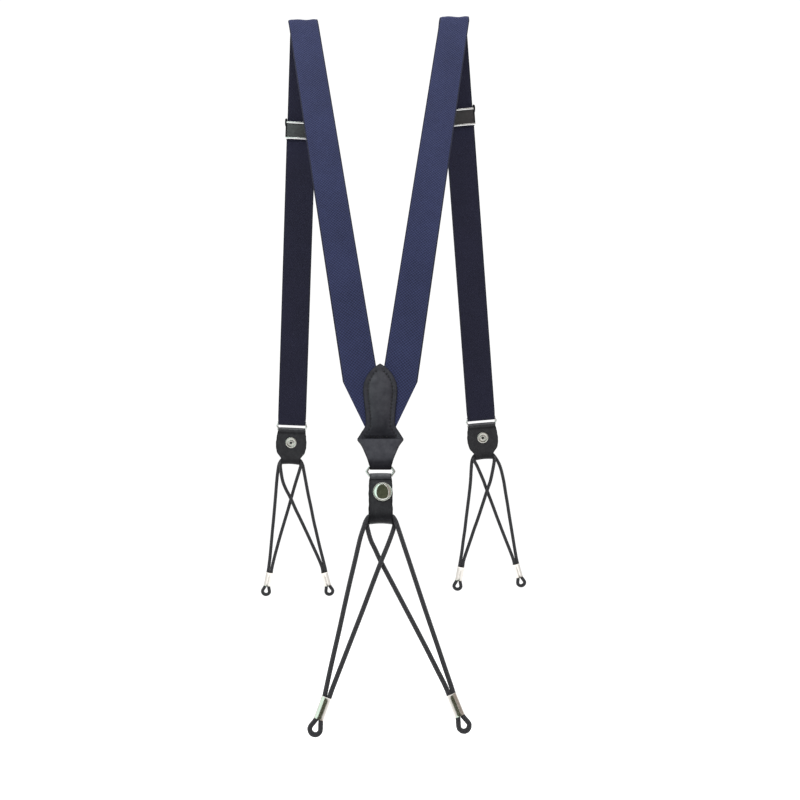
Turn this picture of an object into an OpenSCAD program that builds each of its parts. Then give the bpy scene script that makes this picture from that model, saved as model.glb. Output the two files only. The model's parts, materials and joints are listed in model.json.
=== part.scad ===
// Button-on suspenders, as worn: two webbing straps over the shoulders, a leather yoke at the back,
// and at each of the three ends a wire ring, a snapped leather tab and two cord button loops.
// Millimetres. +Z up, +X to the wearer's right, +Y to the wearer's front.
// The origin is midway between the two shoulders, on the surface that the straps rest on.

/* [Webbing] */
// Width of the elastic webbing
webbing_w = 25; // [20:1:35]
// Thickness of the webbing
webbing_t = 1.6; // [1.2:0.1:2]
// Distance from the middle of the back to each strap's centre at the shoulder
shoulder_x = 64.2; // [50:0.1:100]
// Radius of the webbing's centre line where it bends over the shoulder
bend_r = 8; // [6:0.5:30]

/* [Lie of the straps] */
// Lean of the rear straps away from the back, degrees
rear_lean = 18.6; // [10:0.1:30]
// Turn of the rear straps towards the middle, degrees
rear_turn = 8.84; // [6:0.01:10]
// Lean of the front straps away from the chest, degrees
front_lean = 5.2; // [0:0.1:15]
// Outward turn of the wearer's left front strap, degrees
left_turn = 2.4; // [0:0.05:6]
// Outward turn of the wearer's right front strap, degrees
right_turn = 4.95; // [0:0.05:6]

/* [Lengths down the straps] */
// From the shoulder to the tip of the yoke
yoke_tip_t = 313.5; // [300:0.5:330]
// From the shoulder to the rear ring's upper bar
rear_ring_t = 386.9; // [380:0.1:395]
// From the shoulder to the left front ring's upper bar
left_ring_t = 342.5; // [320:0.5:380]
// From the shoulder to the right front ring's upper bar
right_ring_t = 339; // [320:0.5:380]
// From the shoulder to the middle of the left adjuster
left_adjuster_t = 85; // [60:1:160]
// From the shoulder to the middle of the right adjuster
right_adjuster_t = 74; // [60:1:160]

/* [Leather] */
// Thickness of the leather
leather_t = 1.3; // [1:0.1:1.6]
// Width of the rear tab
rear_tab_w = 16.1; // [14:0.1:20]
// Greatest width of a front tab
front_tab_w = 27; // [24:0.5:30]
// Width of a front tab's neck, where the cords go through
front_neck_w = 17; // [15:0.5:20]

/* [Metal] */
// Diameter of the ring wire
wire_d = 1.8; // [1.4:0.1:2.4]
// Outer width of the rear ring
rear_ring_w = 20.2; // [18:0.1:24]
// Outer width of the front rings
front_ring_w = 28.4; // [27:0.1:32]
// Distance between a ring's upper and lower bars
ring_pitch = 6.9; // [6:0.1:9]
// Diameter of the snap cap
cap_d = 12.5; // [10:0.5:15]
// Diameter of the snap post's washer on the inner face
washer_d = 10; // [8:0.5:12]
// Length of the crimped ferrules
ferrule_l = 13; // [10:0.5:16]

/* [Cord] */
// Diameter of the cord
cord_d = 3; // [2.5:0.1:3.5]
// Radius of the button loop's opening
button_r = 1.9; // [1.5:0.1:2.5]

/* [Adjuster] */
// Outer width of the adjuster
adjuster_w = 27; // [26.8:0.1:32]
// Height of the adjuster's frame
adjuster_h = 13; // [12:0.5:18]

/* [Hidden] */
$fn = 48;
REAR = 0;
LEFT = -1;
RIGHT = 1;
eps = 0.01;

// The shoulder bend, seen from the side: an arc that runs into a straight leg at each end.
bend_z = webbing_t / 2 - bend_r;
bend_len = bend_r * (180 - rear_lean - front_lean) * PI / 180;
bend_steps = 14;
shoulder_front_t = 28;
mitre_gap = 0.3;
mitre_top_t = 331;
strap_bend_t = 326.5;
strap_bend_x = 26.1;
strap_end_t = 362;
strap_end_x = 9.3;

// Fits
pin_play = 0.05;
layer_gap = 0.15;
wire_r = wire_d / 2;
eye_r = wire_r + pin_play;

// Layers of the yoke and of a ring's leather, measured from the bar's axis, outwards negative
leaf_in = eye_r;
leaf_out = eye_r + leather_t;
seam_t = 368.4;
leaf_l = seam_t - yoke_tip_t;
neck_w = 14.2;
stitch_pitch = 2.6;
stitch_l = 1.7;
stitch_w = 0.6;
stitch_t = 0.3;

// Front webbing: the outer run lies on the leg's centre plane and the return run behind it
bight_axis_y = webbing_t / 2 + eye_r;
bight_len = 12;
bight_w = 23.2;
bight_widen_z = 3;
return_past = 3;
return_in_y = webbing_t / 2 + 2 * eye_r;
return_top_y = 1.2;

// Tab, in the frame of its ring's upper bar
flap_top_z = -10.3;
flap_low_z = -32;
flap_in_y = -3.1;
flap_play = 0.3;
turned_low_z = -25;
turned_in_y = 0.9;
snap_z = -18;
rear_snap_x = 1.2;
tube_in_low_z = -37.55;
corner_r = 2;

// Snap, measured along its axis from the flap's outer face
shank_r = 1.2;
shank_hole_r = shank_r + pin_play;
shank_l = 0.9;
socket_r = 4.6;
socket_l = 2;
stud_r = 2;
stud_flange_r = 4.2;
washer_t = 0.7;
post_bore_r = 1.1;
groove_in_r = 2.7;
groove_out_r = 3.6;
groove_t = 0.2;

// Cord ends
ferrule_r = 2.1;
ferrule_off = 1.1;
loop_r = button_r + cord_d / 2 - 0.1;
loop_drop = 5.5;
cord_y = -1;

// Cord ends: ferrule's top [x, z] and its outward lean in the frame of the end's ring
rear_left_ferrule_at = [-33, -142.6, 20.5];
rear_right_ferrule_at = [42.1, -140.9, -22];
front_left_outer_ferrule_at = [16.4, -140.9, -9];
front_left_inner_ferrule_at = [-34.2, -138.8, 17];
front_right_outer_ferrule_at = [-22.5, -139, 11.5];
front_right_inner_ferrule_at = [28.4, -137.4, -14.5];

// Cord routes in the frame of each end's ring: up the near strand, through the tab's fold and down
// the far strand, which crosses the other cord's.
rear_left_route = [
  [-34.2, -1, -141.4], [-33.4, -1, -137.5], [-31.2, -1, -127], [-28.5, -1, -115], [-25.8, -1, -103],
  [-23, -1, -90], [-19.9, -1, -76], [-16.6, -1.2, -62], [-13.5, -1.6, -48.5], [-11.3, -2, -41.5],
  [-9.4, -2, -36.2], [-6.6, -1.6, -33.4], [0, -1.1, -34.6], [6.6, -0.6, -35.9], [8.9, 0.2, -38],
  [8.2, 0.3, -42], [5.8, -1.2, -48.7], [3.4, -2.2, -54.7], [0.3, -2.7, -62.1], [-5.2, -2.4, -76],
  [-10.6, -1.6, -90], [-15.8, -1, -103], [-20.6, -1, -115], [-25.4, -1, -127], [-29.6, -1, -137.5],
  [-31.3, -1, -142.3]
];
rear_right_route = [
  [43.3, -1, -139.7], [42.2, -1, -136], [39.2, -1, -127], [35.3, -1, -115], [31.3, -1, -103],
  [27, -1, -90], [22.5, -1, -76], [18, -1.2, -62], [13.6, -1.6, -48.5], [11.3, -2, -41.5],
  [9.4, -2, -36.2], [6.6, -1.6, -33.4], [0, -1.1, -34.6], [-6.6, -0.6, -35.9], [-8.9, 0.2, -38],
  [-8.4, 0.3, -42], [-6.5, 0.3, -48.7], [-3.6, 0.6, -54.7], [-0.1, 0.8, -62.1], [7.3, 0.4, -76],
  [14.7, -0.4, -90], [21.6, -1, -103], [27.9, -1, -115], [34, -1, -127], [38.6, -1, -136],
  [40.5, -1, -140.6]
];
front_left_outer_route = [
  [17.9, -1, -140], [17.4, -1, -136], [16.5, -1, -126], [15.8, -1, -115], [15.1, -1, -103],
  [14.3, -1, -91], [13.6, -1, -79], [13, -1.2, -67], [12.4, -1.6, -54], [11.7, -2, -45],
  [10.5, -2, -38.3], [7, -1.6, -34], [0, -1.1, -34.6], [-7, -0.6, -35.9], [-9.2, 0.2, -38.6],
  [-8.3, 0.3, -43.5], [-5.6, -1.2, -53.2], [-3.4, -2.2, -61.5], [-1.3, -2.7, -70.2],
  [1.3, -2.4, -81], [3.9, -1.6, -91.2], [6.9, -1, -103], [9.8, -1, -115], [12.3, -1, -126],
  [14.2, -1, -135.5], [14.9, -1, -140.4]
];
front_left_inner_route = [
  [-35.6, -1, -137.5], [-34.6, -1, -133.5], [-31.9, -1, -124], [-29, -1, -114], [-26.1, -1, -103],
  [-22.8, -1, -90.6], [-19.9, -1, -78], [-16.9, -1.2, -66], [-14, -1.6, -53], [-12.2, -2, -45],
  [-10.5, -2, -38.3], [-7, -1.6, -34], [0, -1.1, -34.6], [7, -0.6, -35.9], [9.2, 0.2, -38.6],
  [8.9, 0.3, -43.5], [6.9, 0.3, -53.7], [3.6, 0.6, -61.5], [-1.3, 0.8, -70.2], [-6.4, 0.4, -81],
  [-11.5, -0.4, -91.2], [-17.3, -1, -103], [-22.7, -1, -114], [-27.6, -1, -124], [-31.8, -1, -133.5],
  [-32.9, -1, -138.2]
];
front_right_outer_route = [
  [-24, -1, -138], [-23.4, -1, -134], [-22.4, -1, -124], [-21.5, -1, -114], [-20.6, -1, -104],
  [-19.6, -1, -93], [-18.7, -1, -82], [-17.7, -1.2, -71], [-16.7, -1.6, -59.5], [-14.6, -2, -47],
  [-11.2, -2, -38.8], [-7, -1.6, -34], [0, -1.1, -34.6], [7, -0.6, -35.9], [9, 0.2, -38.4],
  [6.6, 0.3, -44.5], [2, -1.2, -57.5], [0.3, -2.2, -63.4], [-1.5, -2.7, -69.6], [-5.1, -2.4, -82],
  [-8.4, -1.6, -94], [-11.3, -1, -104], [-14.3, -1, -114], [-17.4, -1, -124], [-20.3, -1, -134],
  [-21.1, -1, -138.5]
];
front_right_inner_route = [
  [29.6, -1, -136.2], [28.6, -1, -132], [26.5, -1, -123], [24.5, -1, -113], [22.3, -1, -103],
  [20.2, -1, -92], [18, -1, -81], [15.8, -1.2, -70], [13.6, -1.6, -58], [12.1, -2, -47],
  [10.5, -2, -38.4], [7, -1.6, -34], [0, -1.1, -34.6], [-7, -0.6, -35.9], [-9.2, 0.2, -38.6],
  [-8.2, 0.3, -45], [-4.6, 0.3, -58], [-2, 0.6, -64.2], [0.4, 0.8, -69.8], [5.2, 0.4, -82],
  [9.9, -0.4, -94], [13.7, -1, -103], [17.8, -1, -113], [22, -1, -123], [25.6, -1, -132],
  [26.7, -1, -136.9]
];

// ---- Functions ----

// A point on the webbing's surface: x across, u along the strap from the rear edge of the bend
// (negative down the back, over bend_len down the front), n out of the centre plane.
function on_strap(x, u, n) =
  u < 0
  ? [x, -(bend_r + n) * cos(rear_lean) + u * sin(rear_lean),
     bend_z + (bend_r + n) * sin(rear_lean) + u * cos(rear_lean)]
  : u > bend_len
  ? [x, (bend_r + n) * cos(front_lean) + (u - bend_len) * sin(front_lean),
     bend_z + (bend_r + n) * sin(front_lean) - (u - bend_len) * cos(front_lean)]
  : let (a = rear_lean + u / bend_r * 180 / PI)
    [x, -(bend_r + n) * cos(a), bend_z + (bend_r + n) * sin(a)];

// Inner and outer edge points [x, u] of the strap at u, turned by turn degrees
function edges(x, u, turn) =
  let (across = webbing_w / 2 * cos(turn), along = webbing_w / 2 * sin(turn))
  [[x - across, u + along], [x + across, u - along]];

// The four corners of the webbing at one pair of edge points
function webbing_ring(pair) = [
  on_strap(pair[0][0], pair[0][1], -webbing_t / 2), on_strap(pair[1][0], pair[1][1], -webbing_t / 2),
  on_strap(pair[1][0], pair[1][1], webbing_t / 2), on_strap(pair[0][0], pair[0][1], webbing_t / 2)
];

// A point of a smooth curve through p, at s from p[i] towards p[i + 1]
function spline(p, i, s) =
  let (n = len(p) - 1, a = p[max(i - 1, 0)], b = p[i], c = p[min(i + 1, n)], d = p[min(i + 2, n)])
  b + s / 2 * (c - a) + s * s / 2 * (2 * a - 5 * b + 4 * c - d)
  + s * s * s / 2 * (3 * b - a - 3 * c + d);

function unit(v) = v / norm(v);

// Rings of a round tube along a route, every point and the middle of each span over 9 mm
function tube_path(p) = [
  for (i = [0 : len(p) - 2]) each (norm(p[i + 1] - p[i]) > 9 ? [p[i], spline(p, i, 0.5)] : [p[i]]),
  p[len(p) - 1]
];

function tube_ring(q, i, r, sides) =
  let (n = len(q) - 1, t = unit(q[min(i + 1, n)] - q[max(i - 1, 0)]),
       b = unit(cross(t, [0, 1, 0])), c = cross(b, t))
  [for (k = [0 : sides - 1]) q[i] + r * (cos(360 * k / sides) * b + sin(360 * k / sides) * c)];

// ---- Shapes ----

// A closed skin over rings of equal length, with a flat cap at each end
module skin(rings) {
  m = len(rings[0]);
  last = (len(rings) - 1) * m;
  polyhedron(
    points = [for (r = rings) each r],
    faces = [
      for (i = [0 : len(rings) - 2], k = [0 : m - 1]) each [
        [i * m + k, i * m + (k + 1) % m, (i + 1) * m + (k + 1) % m],
        [i * m + k, (i + 1) * m + (k + 1) % m, (i + 1) * m + k]
      ],
      [for (k = [m - 1 : -1 : 0]) k],
      [for (k = [0 : m - 1]) last + k]
    ]
  );
}

module tube(route) {
  q = tube_path(route);
  skin([for (i = [0 : len(q) - 1]) tube_ring(q, i, cord_d / 2, 8)]);
}

// Outline in the side view, extruded across the strap; the outline's x is depth, its y is height
module across(w, x = 0) {
  translate([x + w / 2, 0, 0]) rotate([90, 0, -90]) linear_extrude(w) mirror([1, 0]) children();
}

// Outline in the front view, extruded from depth y0 to depth y1
module through(y0, y1) {
  translate([0, y1, 0]) rotate([90, 0, 0]) linear_extrude(y1 - y0) children();
}

module rod(r, l, y = 0, z = 0) {
  translate([-l / 2, y, z]) rotate([0, 90, 0]) cylinder(r = r, h = l);
}

// A disc whose axis is the depth direction, from y0 to y1
module disc(r, y0, y1) {
  translate([0, y1, 0]) rotate([90, 0, 0]) cylinder(r = r, h = y1 - y0);
}

// What lies below the axis of a ring's bar, in the side view
module below_bar() {
  half = leaf_out + webbing_t;
  translate([-half, -2 * half]) square(2 * half);
}

module slot2d(r, off) {
  for (s = [-1, 1]) translate([s * off, 0]) circle(r);
  square([2 * off, 2 * r], center = true);
}

// ---- Places ----

module on_rear(t) {
  translate(on_strap(0, 0, 0)) rotate([-rear_lean, 0, 0]) translate([0, 0, -t]) children();
}

function front_turn(side) = side == LEFT ? left_turn : right_turn;

// On a front strap, t below the bend; depth is counted outwards from the wearer as negative
module on_front(side, t) {
  translate(on_strap(side * shoulder_x, bend_len + eps, 0))
    rotate([front_lean, 0, 0]) rotate([0, -side * front_turn(side), 0]) rotate([0, 0, 180])
      translate([0, 0, -t]) children();
}

module at_end(end) {
  if (end == REAR) on_rear(rear_ring_t) children();
  else on_front(end, end == LEFT ? left_ring_t : right_ring_t)
    translate([0, bight_axis_y, 0]) children();
}

// ---- Webbing ----

module shoulder_webbing(side) {
  rings = concat(
    [webbing_ring([[mitre_gap, -strap_end_t], [strap_end_x, -strap_end_t]]),
     webbing_ring([[mitre_gap, -mitre_top_t], [strap_bend_x, -strap_bend_t]])],
    [for (i = [0 : bend_steps]) let (s = i / bend_steps)
      webbing_ring(edges(shoulder_x, s * bend_len, rear_turn + s * (front_turn(side) - rear_turn)))],
    [webbing_ring(edges(shoulder_x + shoulder_front_t * tan(front_turn(side)),
                        bend_len + shoulder_front_t, front_turn(side)))]
  );
  color("#34375c") mirror([side == LEFT ? 1 : 0, 0, 0]) skin(rings);
}

// The outer run, from below the shoulder down to the ring
module front_webbing(side) {
  ring_t = side == LEFT ? left_ring_t : right_ring_t;
  top_t = (shoulder_front_t + layer_gap) / cos(front_turn(side));
  color("#2b2e48") on_front(side, ring_t)
    through(-webbing_t / 2, webbing_t / 2)
      translate([-webbing_w / 2, bight_len]) square([webbing_w, ring_t - bight_len - top_t]);
}

// The webbing's turn around the ring's upper bar
module webbing_bight(side) {
  color("#2b2e48") at_end(side) {
    across(bight_w) intersection() {
      difference() {
        circle(eye_r + webbing_t);
        circle(eye_r);
      }
      below_bar();
    }
    across(webbing_w - 0.4) for (y = [-eye_r - webbing_t, eye_r])
      translate([y, bight_widen_z]) square([webbing_t, bight_len - bight_widen_z - layer_gap]);
    across(bight_w) for (y = [-eye_r - webbing_t, eye_r])
      translate([y, -eps]) square([webbing_t, bight_widen_z + 2 * eps]);
  }
}

// The inner run, from the ring back up into the adjuster
module return_webbing(side) {
  run = side == LEFT ? left_ring_t - left_adjuster_t : right_ring_t - right_adjuster_t;
  low_y = return_in_y - bight_axis_y;
  top_y = return_top_y - bight_axis_y;
  color("#262a42") at_end(side) across(webbing_w)
    polygon([[low_y, bight_len], [low_y + webbing_t, bight_len], [top_y + webbing_t, run + return_past],
             [top_y, run + return_past]]);
}

// ---- Yoke ----

// Right-hand edge of the leaf, [half width, distance below the tip]
leaf_edge = [[0, 0], [4.6, 3.4], [8.5, 8.2], [11.1, 13.9], [11.8, 20], [11.2, 28], [10, 40], [10.2, 45.6]];
leaf_curve = [for (i = [0 : len(leaf_edge) - 2], s = [0, 0.5]) spline(leaf_edge, i, s)];
point_x = 15.75;
taper = [[13, 58.6], [10.9, 63.1], [8.9, 68], [7.7, 72]];

function both_sides(p) = concat(p, [for (i = [len(p) - 1 : -1 : 0]) [-p[i][0], p[i][1]]]);

// The leaf and its side points down to the seam, drawn downwards from the tip
module leaf2d() {
  mirror([0, 1]) polygon(both_sides(concat(leaf_curve, [leaf_edge[len(leaf_edge) - 1], [point_x, leaf_l]])));
}

// The neck, from the seam down to the ring
module neck2d() {
  mirror([0, 1]) polygon(both_sides(concat(
    [[point_x, leaf_l - eps]], taper, [[neck_w / 2, rear_ring_t - yoke_tip_t]])));
}

module yoke_front() {
  color("#34353a") {
    on_rear(yoke_tip_t) through(-leaf_out, -leaf_in) {
      leaf2d();
      neck2d();
    }
    on_rear(rear_ring_t) across(neck_w) intersection() {
      difference() {
        circle(leaf_out);
        circle(leaf_in);
      }
      below_bar();
    }
    on_rear(yoke_tip_t) through(leaf_in, leaf_out) neck2d();
  }
}

module yoke_back() {
  color("#2f3034") on_rear(yoke_tip_t) through(leaf_in, leaf_out)
    intersection() {
      leaf2d();
      translate([-point_x, layer_gap - leaf_l]) square([2 * point_x, leaf_l]);
    }
}

// Stitch line, inside the leaf's edge down to the waist, out to the points and across the seam
stitch_edge = [[0.8, 5.2], [3.6, 8.3], [6.2, 12.3], [7.9, 17.5], [8.2, 23], [7.6, 31], [6.9, 40],
  [7.4, 47], [11.2, 53.2], [5.6, 53.2], [0, 53.2]];

function path_len(p, i) = i == 0 ? 0 : norm(p[i] - p[i - 1]) + path_len(p, i - 1);

function along(p, s, i = 1) =
  let (d = norm(p[i] - p[i - 1]))
  s <= d || i == len(p) - 1
  ? [p[i - 1] + (p[i] - p[i - 1]) * s / d, atan2(p[i][1] - p[i - 1][1], p[i][0] - p[i - 1][0])]
  : along(p, s - d, i + 1);

module yoke_stitching() {
  total = path_len(stitch_edge, len(stitch_edge) - 1);
  color("#17171a") on_rear(yoke_tip_t)
    for (side = [-1, 1], k = [0 : floor(total / stitch_pitch) - 1])
      let (a = along(stitch_edge, (k + 0.5) * stitch_pitch))
        translate([side * a[0][0], -leaf_out - stitch_t, -a[0][1]]) rotate([0, side * a[1], 0])
          translate([-stitch_l / 2, 0, -stitch_w / 2]) cube([stitch_l, stitch_t, stitch_w]);
}

// ---- Adjusters ----

pin_r = 0.8;
pin_y = -2.6;
pin_z = 5.2;
lug_r = 2.1;
rail_t = 0.8;
rail_out_y = -2;
rail_in_y = 4.3;
plate_y = 3;
plate_t = 0.8;
bar_r = 0.9;
bar_y = 3.9;
bar_z = 6.6;
barrel_r = 1.6;
lever_w = 24.6;
lever_t = 1;
lip_z = -9;

module at_adjuster(side) {
  on_front(side, side == LEFT ? left_adjuster_t : right_adjuster_t) children();
}

module adjuster_frame(side) {
  color("#b9b9b6") at_adjuster(side) {
    for (s = [-1, 1]) difference() {
      translate([s * (adjuster_w / 2 - rail_t / 2), 0, 0]) across(rail_t) {
        translate([rail_out_y, -adjuster_h / 2]) square([rail_in_y - rail_out_y, adjuster_h]);
        translate([pin_y, pin_z]) circle(lug_r);
      }
      rod(pin_r + pin_play, adjuster_w + 2, pin_y, pin_z);
    }
    for (z = [-bar_z, bar_z]) rod(bar_r, adjuster_w - eps, bar_y, z);
  }
}

module adjuster_plate(side) {
  inner_w = adjuster_w - 2 * rail_t - 2 * pin_play;
  color("#232427") at_adjuster(side) through(plate_y, plate_y + plate_t)
    square([inner_w, 2 * (bar_z - bar_r - pin_play)], center = true);
}

module adjuster_pin(side) {
  color("#a9a9a6") at_adjuster(side) rod(pin_r, adjuster_w, pin_y, pin_z);
}

module adjuster_lever(side) {
  color("#c2c2bf") at_adjuster(side) difference() {
    across(lever_w) {
      translate([pin_y, pin_z]) circle(barrel_r);
      translate([pin_y - barrel_r, 0])
        polygon([[0, pin_z], [lever_t, pin_z], [lever_t, -6.4], [0, lip_z], [-lever_t, lip_z], [0, -6]]);
    }
    rod(pin_r + pin_play, lever_w + 2, pin_y, pin_z);
  }
}

// ---- Ends ----

function ring_w(end) = end == REAR ? rear_ring_w : front_ring_w;
function eye_w(end) = end == REAR ? neck_w : bight_w;
function tab_w(end) = end == REAR ? rear_tab_w : front_tab_w;
function tube_w(end) = end == REAR ? rear_tab_w : front_neck_w;
function snap_x(end) = end == REAR ? rear_snap_x : 0;

// A wire ring of two long bars joined by short ends, hung from its upper bar
module ring(end) {
  r = end == REAR ? 1.9 : 1.5;
  half = (ring_w(end) - wire_d) / 2;
  color("#b4b4b2") at_end(end) translate([0, 0, -ring_pitch / 2]) {
    for (s = [-1, 1]) {
      rod(wire_r, 2 * (half - r), 0, s * ring_pitch / 2);
      translate([s * half, 0, r - ring_pitch / 2]) cylinder(r = wire_r, h = ring_pitch - 2 * r);
      for (c = [-1, 1]) translate([s * (half - r), 0, c * (ring_pitch / 2 - r)])
        rotate([90, 0, 0]) mirror([s < 0 ? 1 : 0, 0, 0]) mirror([0, c < 0 ? 1 : 0, 0])
          rotate_extrude(angle = 90) translate([r, 0]) circle(wire_r);
    }
  }
}

// Front view of a tab between two heights
module tab2d(end, top_z, low_z) {
  w = tab_w(end) / 2;
  n = tube_w(end) / 2;
  e = eye_w(end) / 2;
  intersection() {
    polygon(both_sides([[e, 5], [e, -ring_pitch - leaf_out - 0.4], [w - 1, -10.6], [w, -14], [w, -25.5],
                        [n, -33.4], [n, -60]]));
    translate([-w, low_z]) square([2 * w, top_z - low_z]);
  }
}

// The tab's leather: an eye on the ring's lower bar, the inner panel, the turned-over end that
// carries the stud, and the fold that the cords run through
module tab(end) {
  lower_bar = -ring_pitch;
  low = tube_in_low_z;
  wall_y = flap_in_y - leather_t;
  turn_z = lower_bar - 4;
  color("#303136") at_end(end) {
    across(eye_w(end)) {
      translate([0, lower_bar]) difference() {
        circle(leaf_out);
        circle(leaf_in);
        translate([-leaf_out, -leaf_out]) square([2 * leaf_out, leaf_out]);
      }
      translate([leaf_in, turn_z]) square([leather_t, 4 + eps]);
      polygon([[-leaf_out, lower_bar + eps], [-leaf_in, lower_bar + eps], [-leaf_in, lower_bar - 1.4],
               [turned_in_y, turn_z], [turned_in_y, turn_z - 1], [turned_in_y - leather_t, turn_z - 1],
               [turned_in_y - leather_t, turn_z], [-leaf_out, lower_bar - 1.6]]);
    }
    through(leaf_in, leaf_out) tab2d(end, turn_z + eps, low);
    through(turned_in_y - leather_t, turned_in_y) tab2d(end, turn_z, turned_low_z);
    across(tube_w(end)) difference() {
      translate([wall_y, low - leather_t])
        square([leaf_out - wall_y, flap_low_z - flap_play - low + leather_t]);
      translate([flap_in_y, low]) square([leaf_in - flap_in_y, 10]);
      difference() {
        for (y = [wall_y, leaf_out - corner_r])
          translate([y, low - leather_t]) square([corner_r, corner_r]);
        for (y = [wall_y + corner_r, leaf_out - corner_r])
          translate([y, low - leather_t + corner_r]) circle(corner_r);
      }
    }
  }
}

// The outer layer of the tab, which folds down at its lower edge when the snap is undone
module flap(end) {
  color("#35363b") at_end(end) difference() {
    through(flap_in_y - leather_t, flap_in_y) tab2d(end, flap_top_z, flap_low_z);
    translate([snap_x(end), 0, snap_z]) disc(shank_hole_r, flap_in_y - leather_t - 1, flap_in_y + 1);
  }
}

// A domed cap whose shank goes through the flap into the socket, turned from one outline
module snap_cap(end) {
  r = cap_d / 2;
  rim = 0.5;
  dome = 1.3;
  sphere_r = (r * r + dome * dome) / (2 * dome);
  half = asin(r / sphere_r);
  steps = 8;
  color("#c8c8c6") at_end(end) translate([snap_x(end), flap_in_y - leather_t, snap_z])
    rotate([90, 0, 0]) rotate_extrude()
      polygon(concat(
        [[0, -leather_t - shank_l], [shank_r, -leather_t - shank_l], [shank_r, 0], [r, 0]],
        [for (i = [0 : steps]) let (a = half * (1 - i / steps))
          [i == steps ? 0 : sphere_r * sin(a), rim + dome - sphere_r * (1 - cos(a))]]
      ));
}

// The ring under the flap that the shank is set in, open on its inner side for the stud
module snap_socket(end) {
  face = flap_in_y + 0.02;
  color("#9f9f9c") at_end(end) translate([snap_x(end), 0, snap_z]) difference() {
    disc(socket_r, face, face + socket_l);
    disc(shank_hole_r, face - 1, face + 1);
    disc(stud_r + 0.3, face + shank_l + layer_gap / 2, face + socket_l + 1);
  }
}

// The stud on the turned-over end of the tab: a flange and the button that the socket grips
module snap_stud(end) {
  face = turned_in_y - leather_t;
  color("#a3a3a0") at_end(end) translate([snap_x(end), 0, snap_z]) {
    disc(stud_flange_r, face - 0.45, face);
    disc(stud_r, face - 1.6, face - 0.4);
  }
}

// The post's washer on the inner panel, with its bore and a turned groove round it
module snap_post(end) {
  color("#b0aeaa") at_end(end) translate([snap_x(end), 0, snap_z]) difference() {
    disc(washer_d / 2, leaf_out, leaf_out + washer_t);
    disc(post_bore_r, leaf_out - 1, leaf_out + 2);
    difference() {
      disc(groove_out_r, leaf_out + washer_t - groove_t, leaf_out + 2);
      disc(groove_in_r, leaf_out, leaf_out + 3);
    }
  }
}

// ---- Cords ----

module at_ferrule(end, at) {
  at_end(end) translate([at[0], cord_y, at[1]]) rotate([0, at[2], 0]) children();
}

module cord(end, route) {
  color("#26262a") at_end(end) tube(route);
}

module ferrule(end, at) {
  color("#b5b2ae") at_ferrule(end, at) difference() {
    translate([0, 0, -ferrule_l]) linear_extrude(ferrule_l) slot2d(ferrule_r, ferrule_off);
    for (s = [-1, 1]) translate([0, s * (ferrule_r + 0.5), -ferrule_l + 2])
      cylinder(r = 0.9, h = ferrule_l - 4);
  }
}

// The bight below the ferrule, open for a button's thread shank
module button_loop(end, at) {
  leg_top = -ferrule_l - 0.02;
  centre = -ferrule_l - loop_drop;
  half = asin(cord_d / 2 / loop_r);
  color("#26262a") at_ferrule(end, at) {
    for (s = [-1, 1]) translate([s * cord_d / 2, 0, centre + loop_r * cos(half)])
      cylinder(r = cord_d / 2 - 0.02, h = leg_top - centre - loop_r * cos(half));
    translate([0, 0, centre]) rotate([90, 0, 0]) rotate([0, 0, 90 + half - 4])
      rotate_extrude(angle = 360 - 2 * half + 8) intersection() {
        translate([loop_r, 0]) circle(cord_d / 2);
        translate([button_r, -5]) square([10, 10]);
      }
  }
}

shoulder_webbing(LEFT);  // left_shoulder_webbing
shoulder_webbing(RIGHT);  // right_shoulder_webbing
front_webbing(LEFT);  // left_front_webbing
front_webbing(RIGHT);  // right_front_webbing
yoke_front();
yoke_back();
yoke_stitching();
webbing_bight(LEFT);  // left_webbing_bight
webbing_bight(RIGHT);  // right_webbing_bight
return_webbing(LEFT);  // left_return_webbing
return_webbing(RIGHT);  // right_return_webbing
adjuster_frame(LEFT);  // left_adjuster_frame
adjuster_plate(LEFT);  // left_adjuster_plate
adjuster_pin(LEFT);  // left_adjuster_pin
adjuster_lever(LEFT);  // left_adjuster_lever
adjuster_frame(RIGHT);  // right_adjuster_frame
adjuster_plate(RIGHT);  // right_adjuster_plate
adjuster_pin(RIGHT);  // right_adjuster_pin
adjuster_lever(RIGHT);  // right_adjuster_lever
ring(REAR);  // rear_ring
tab(REAR);  // rear_tab
snap_stud(REAR);  // rear_snap_stud
snap_post(REAR);  // rear_snap_post
flap(REAR);  // rear_flap
snap_cap(REAR);  // rear_snap_cap
snap_socket(REAR);  // rear_snap_socket
ring(LEFT);  // front_left_ring
tab(LEFT);  // front_left_tab
snap_stud(LEFT);  // front_left_snap_stud
snap_post(LEFT);  // front_left_snap_post
flap(LEFT);  // front_left_flap
snap_cap(LEFT);  // front_left_snap_cap
snap_socket(LEFT);  // front_left_snap_socket
ring(RIGHT);  // front_right_ring
tab(RIGHT);  // front_right_tab
snap_stud(RIGHT);  // front_right_snap_stud
snap_post(RIGHT);  // front_right_snap_post
flap(RIGHT);  // front_right_flap
snap_cap(RIGHT);  // front_right_snap_cap
snap_socket(RIGHT);  // front_right_snap_socket
cord(REAR, rear_left_route);  // rear_left_cord
ferrule(REAR, rear_left_ferrule_at);  // rear_left_ferrule
button_loop(REAR, rear_left_ferrule_at);  // rear_left_button_loop
cord(REAR, rear_right_route);  // rear_right_cord
ferrule(REAR, rear_right_ferrule_at);  // rear_right_ferrule
button_loop(REAR, rear_right_ferrule_at);  // rear_right_button_loop
cord(LEFT, front_left_outer_route);  // front_left_outer_cord
ferrule(LEFT, front_left_outer_ferrule_at);  // front_left_outer_ferrule
button_loop(LEFT, front_left_outer_ferrule_at);  // front_left_outer_button_loop
cord(LEFT, front_left_inner_route);  // front_left_inner_cord
ferrule(LEFT, front_left_inner_ferrule_at);  // front_left_inner_ferrule
button_loop(LEFT, front_left_inner_ferrule_at);  // front_left_inner_button_loop
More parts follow.
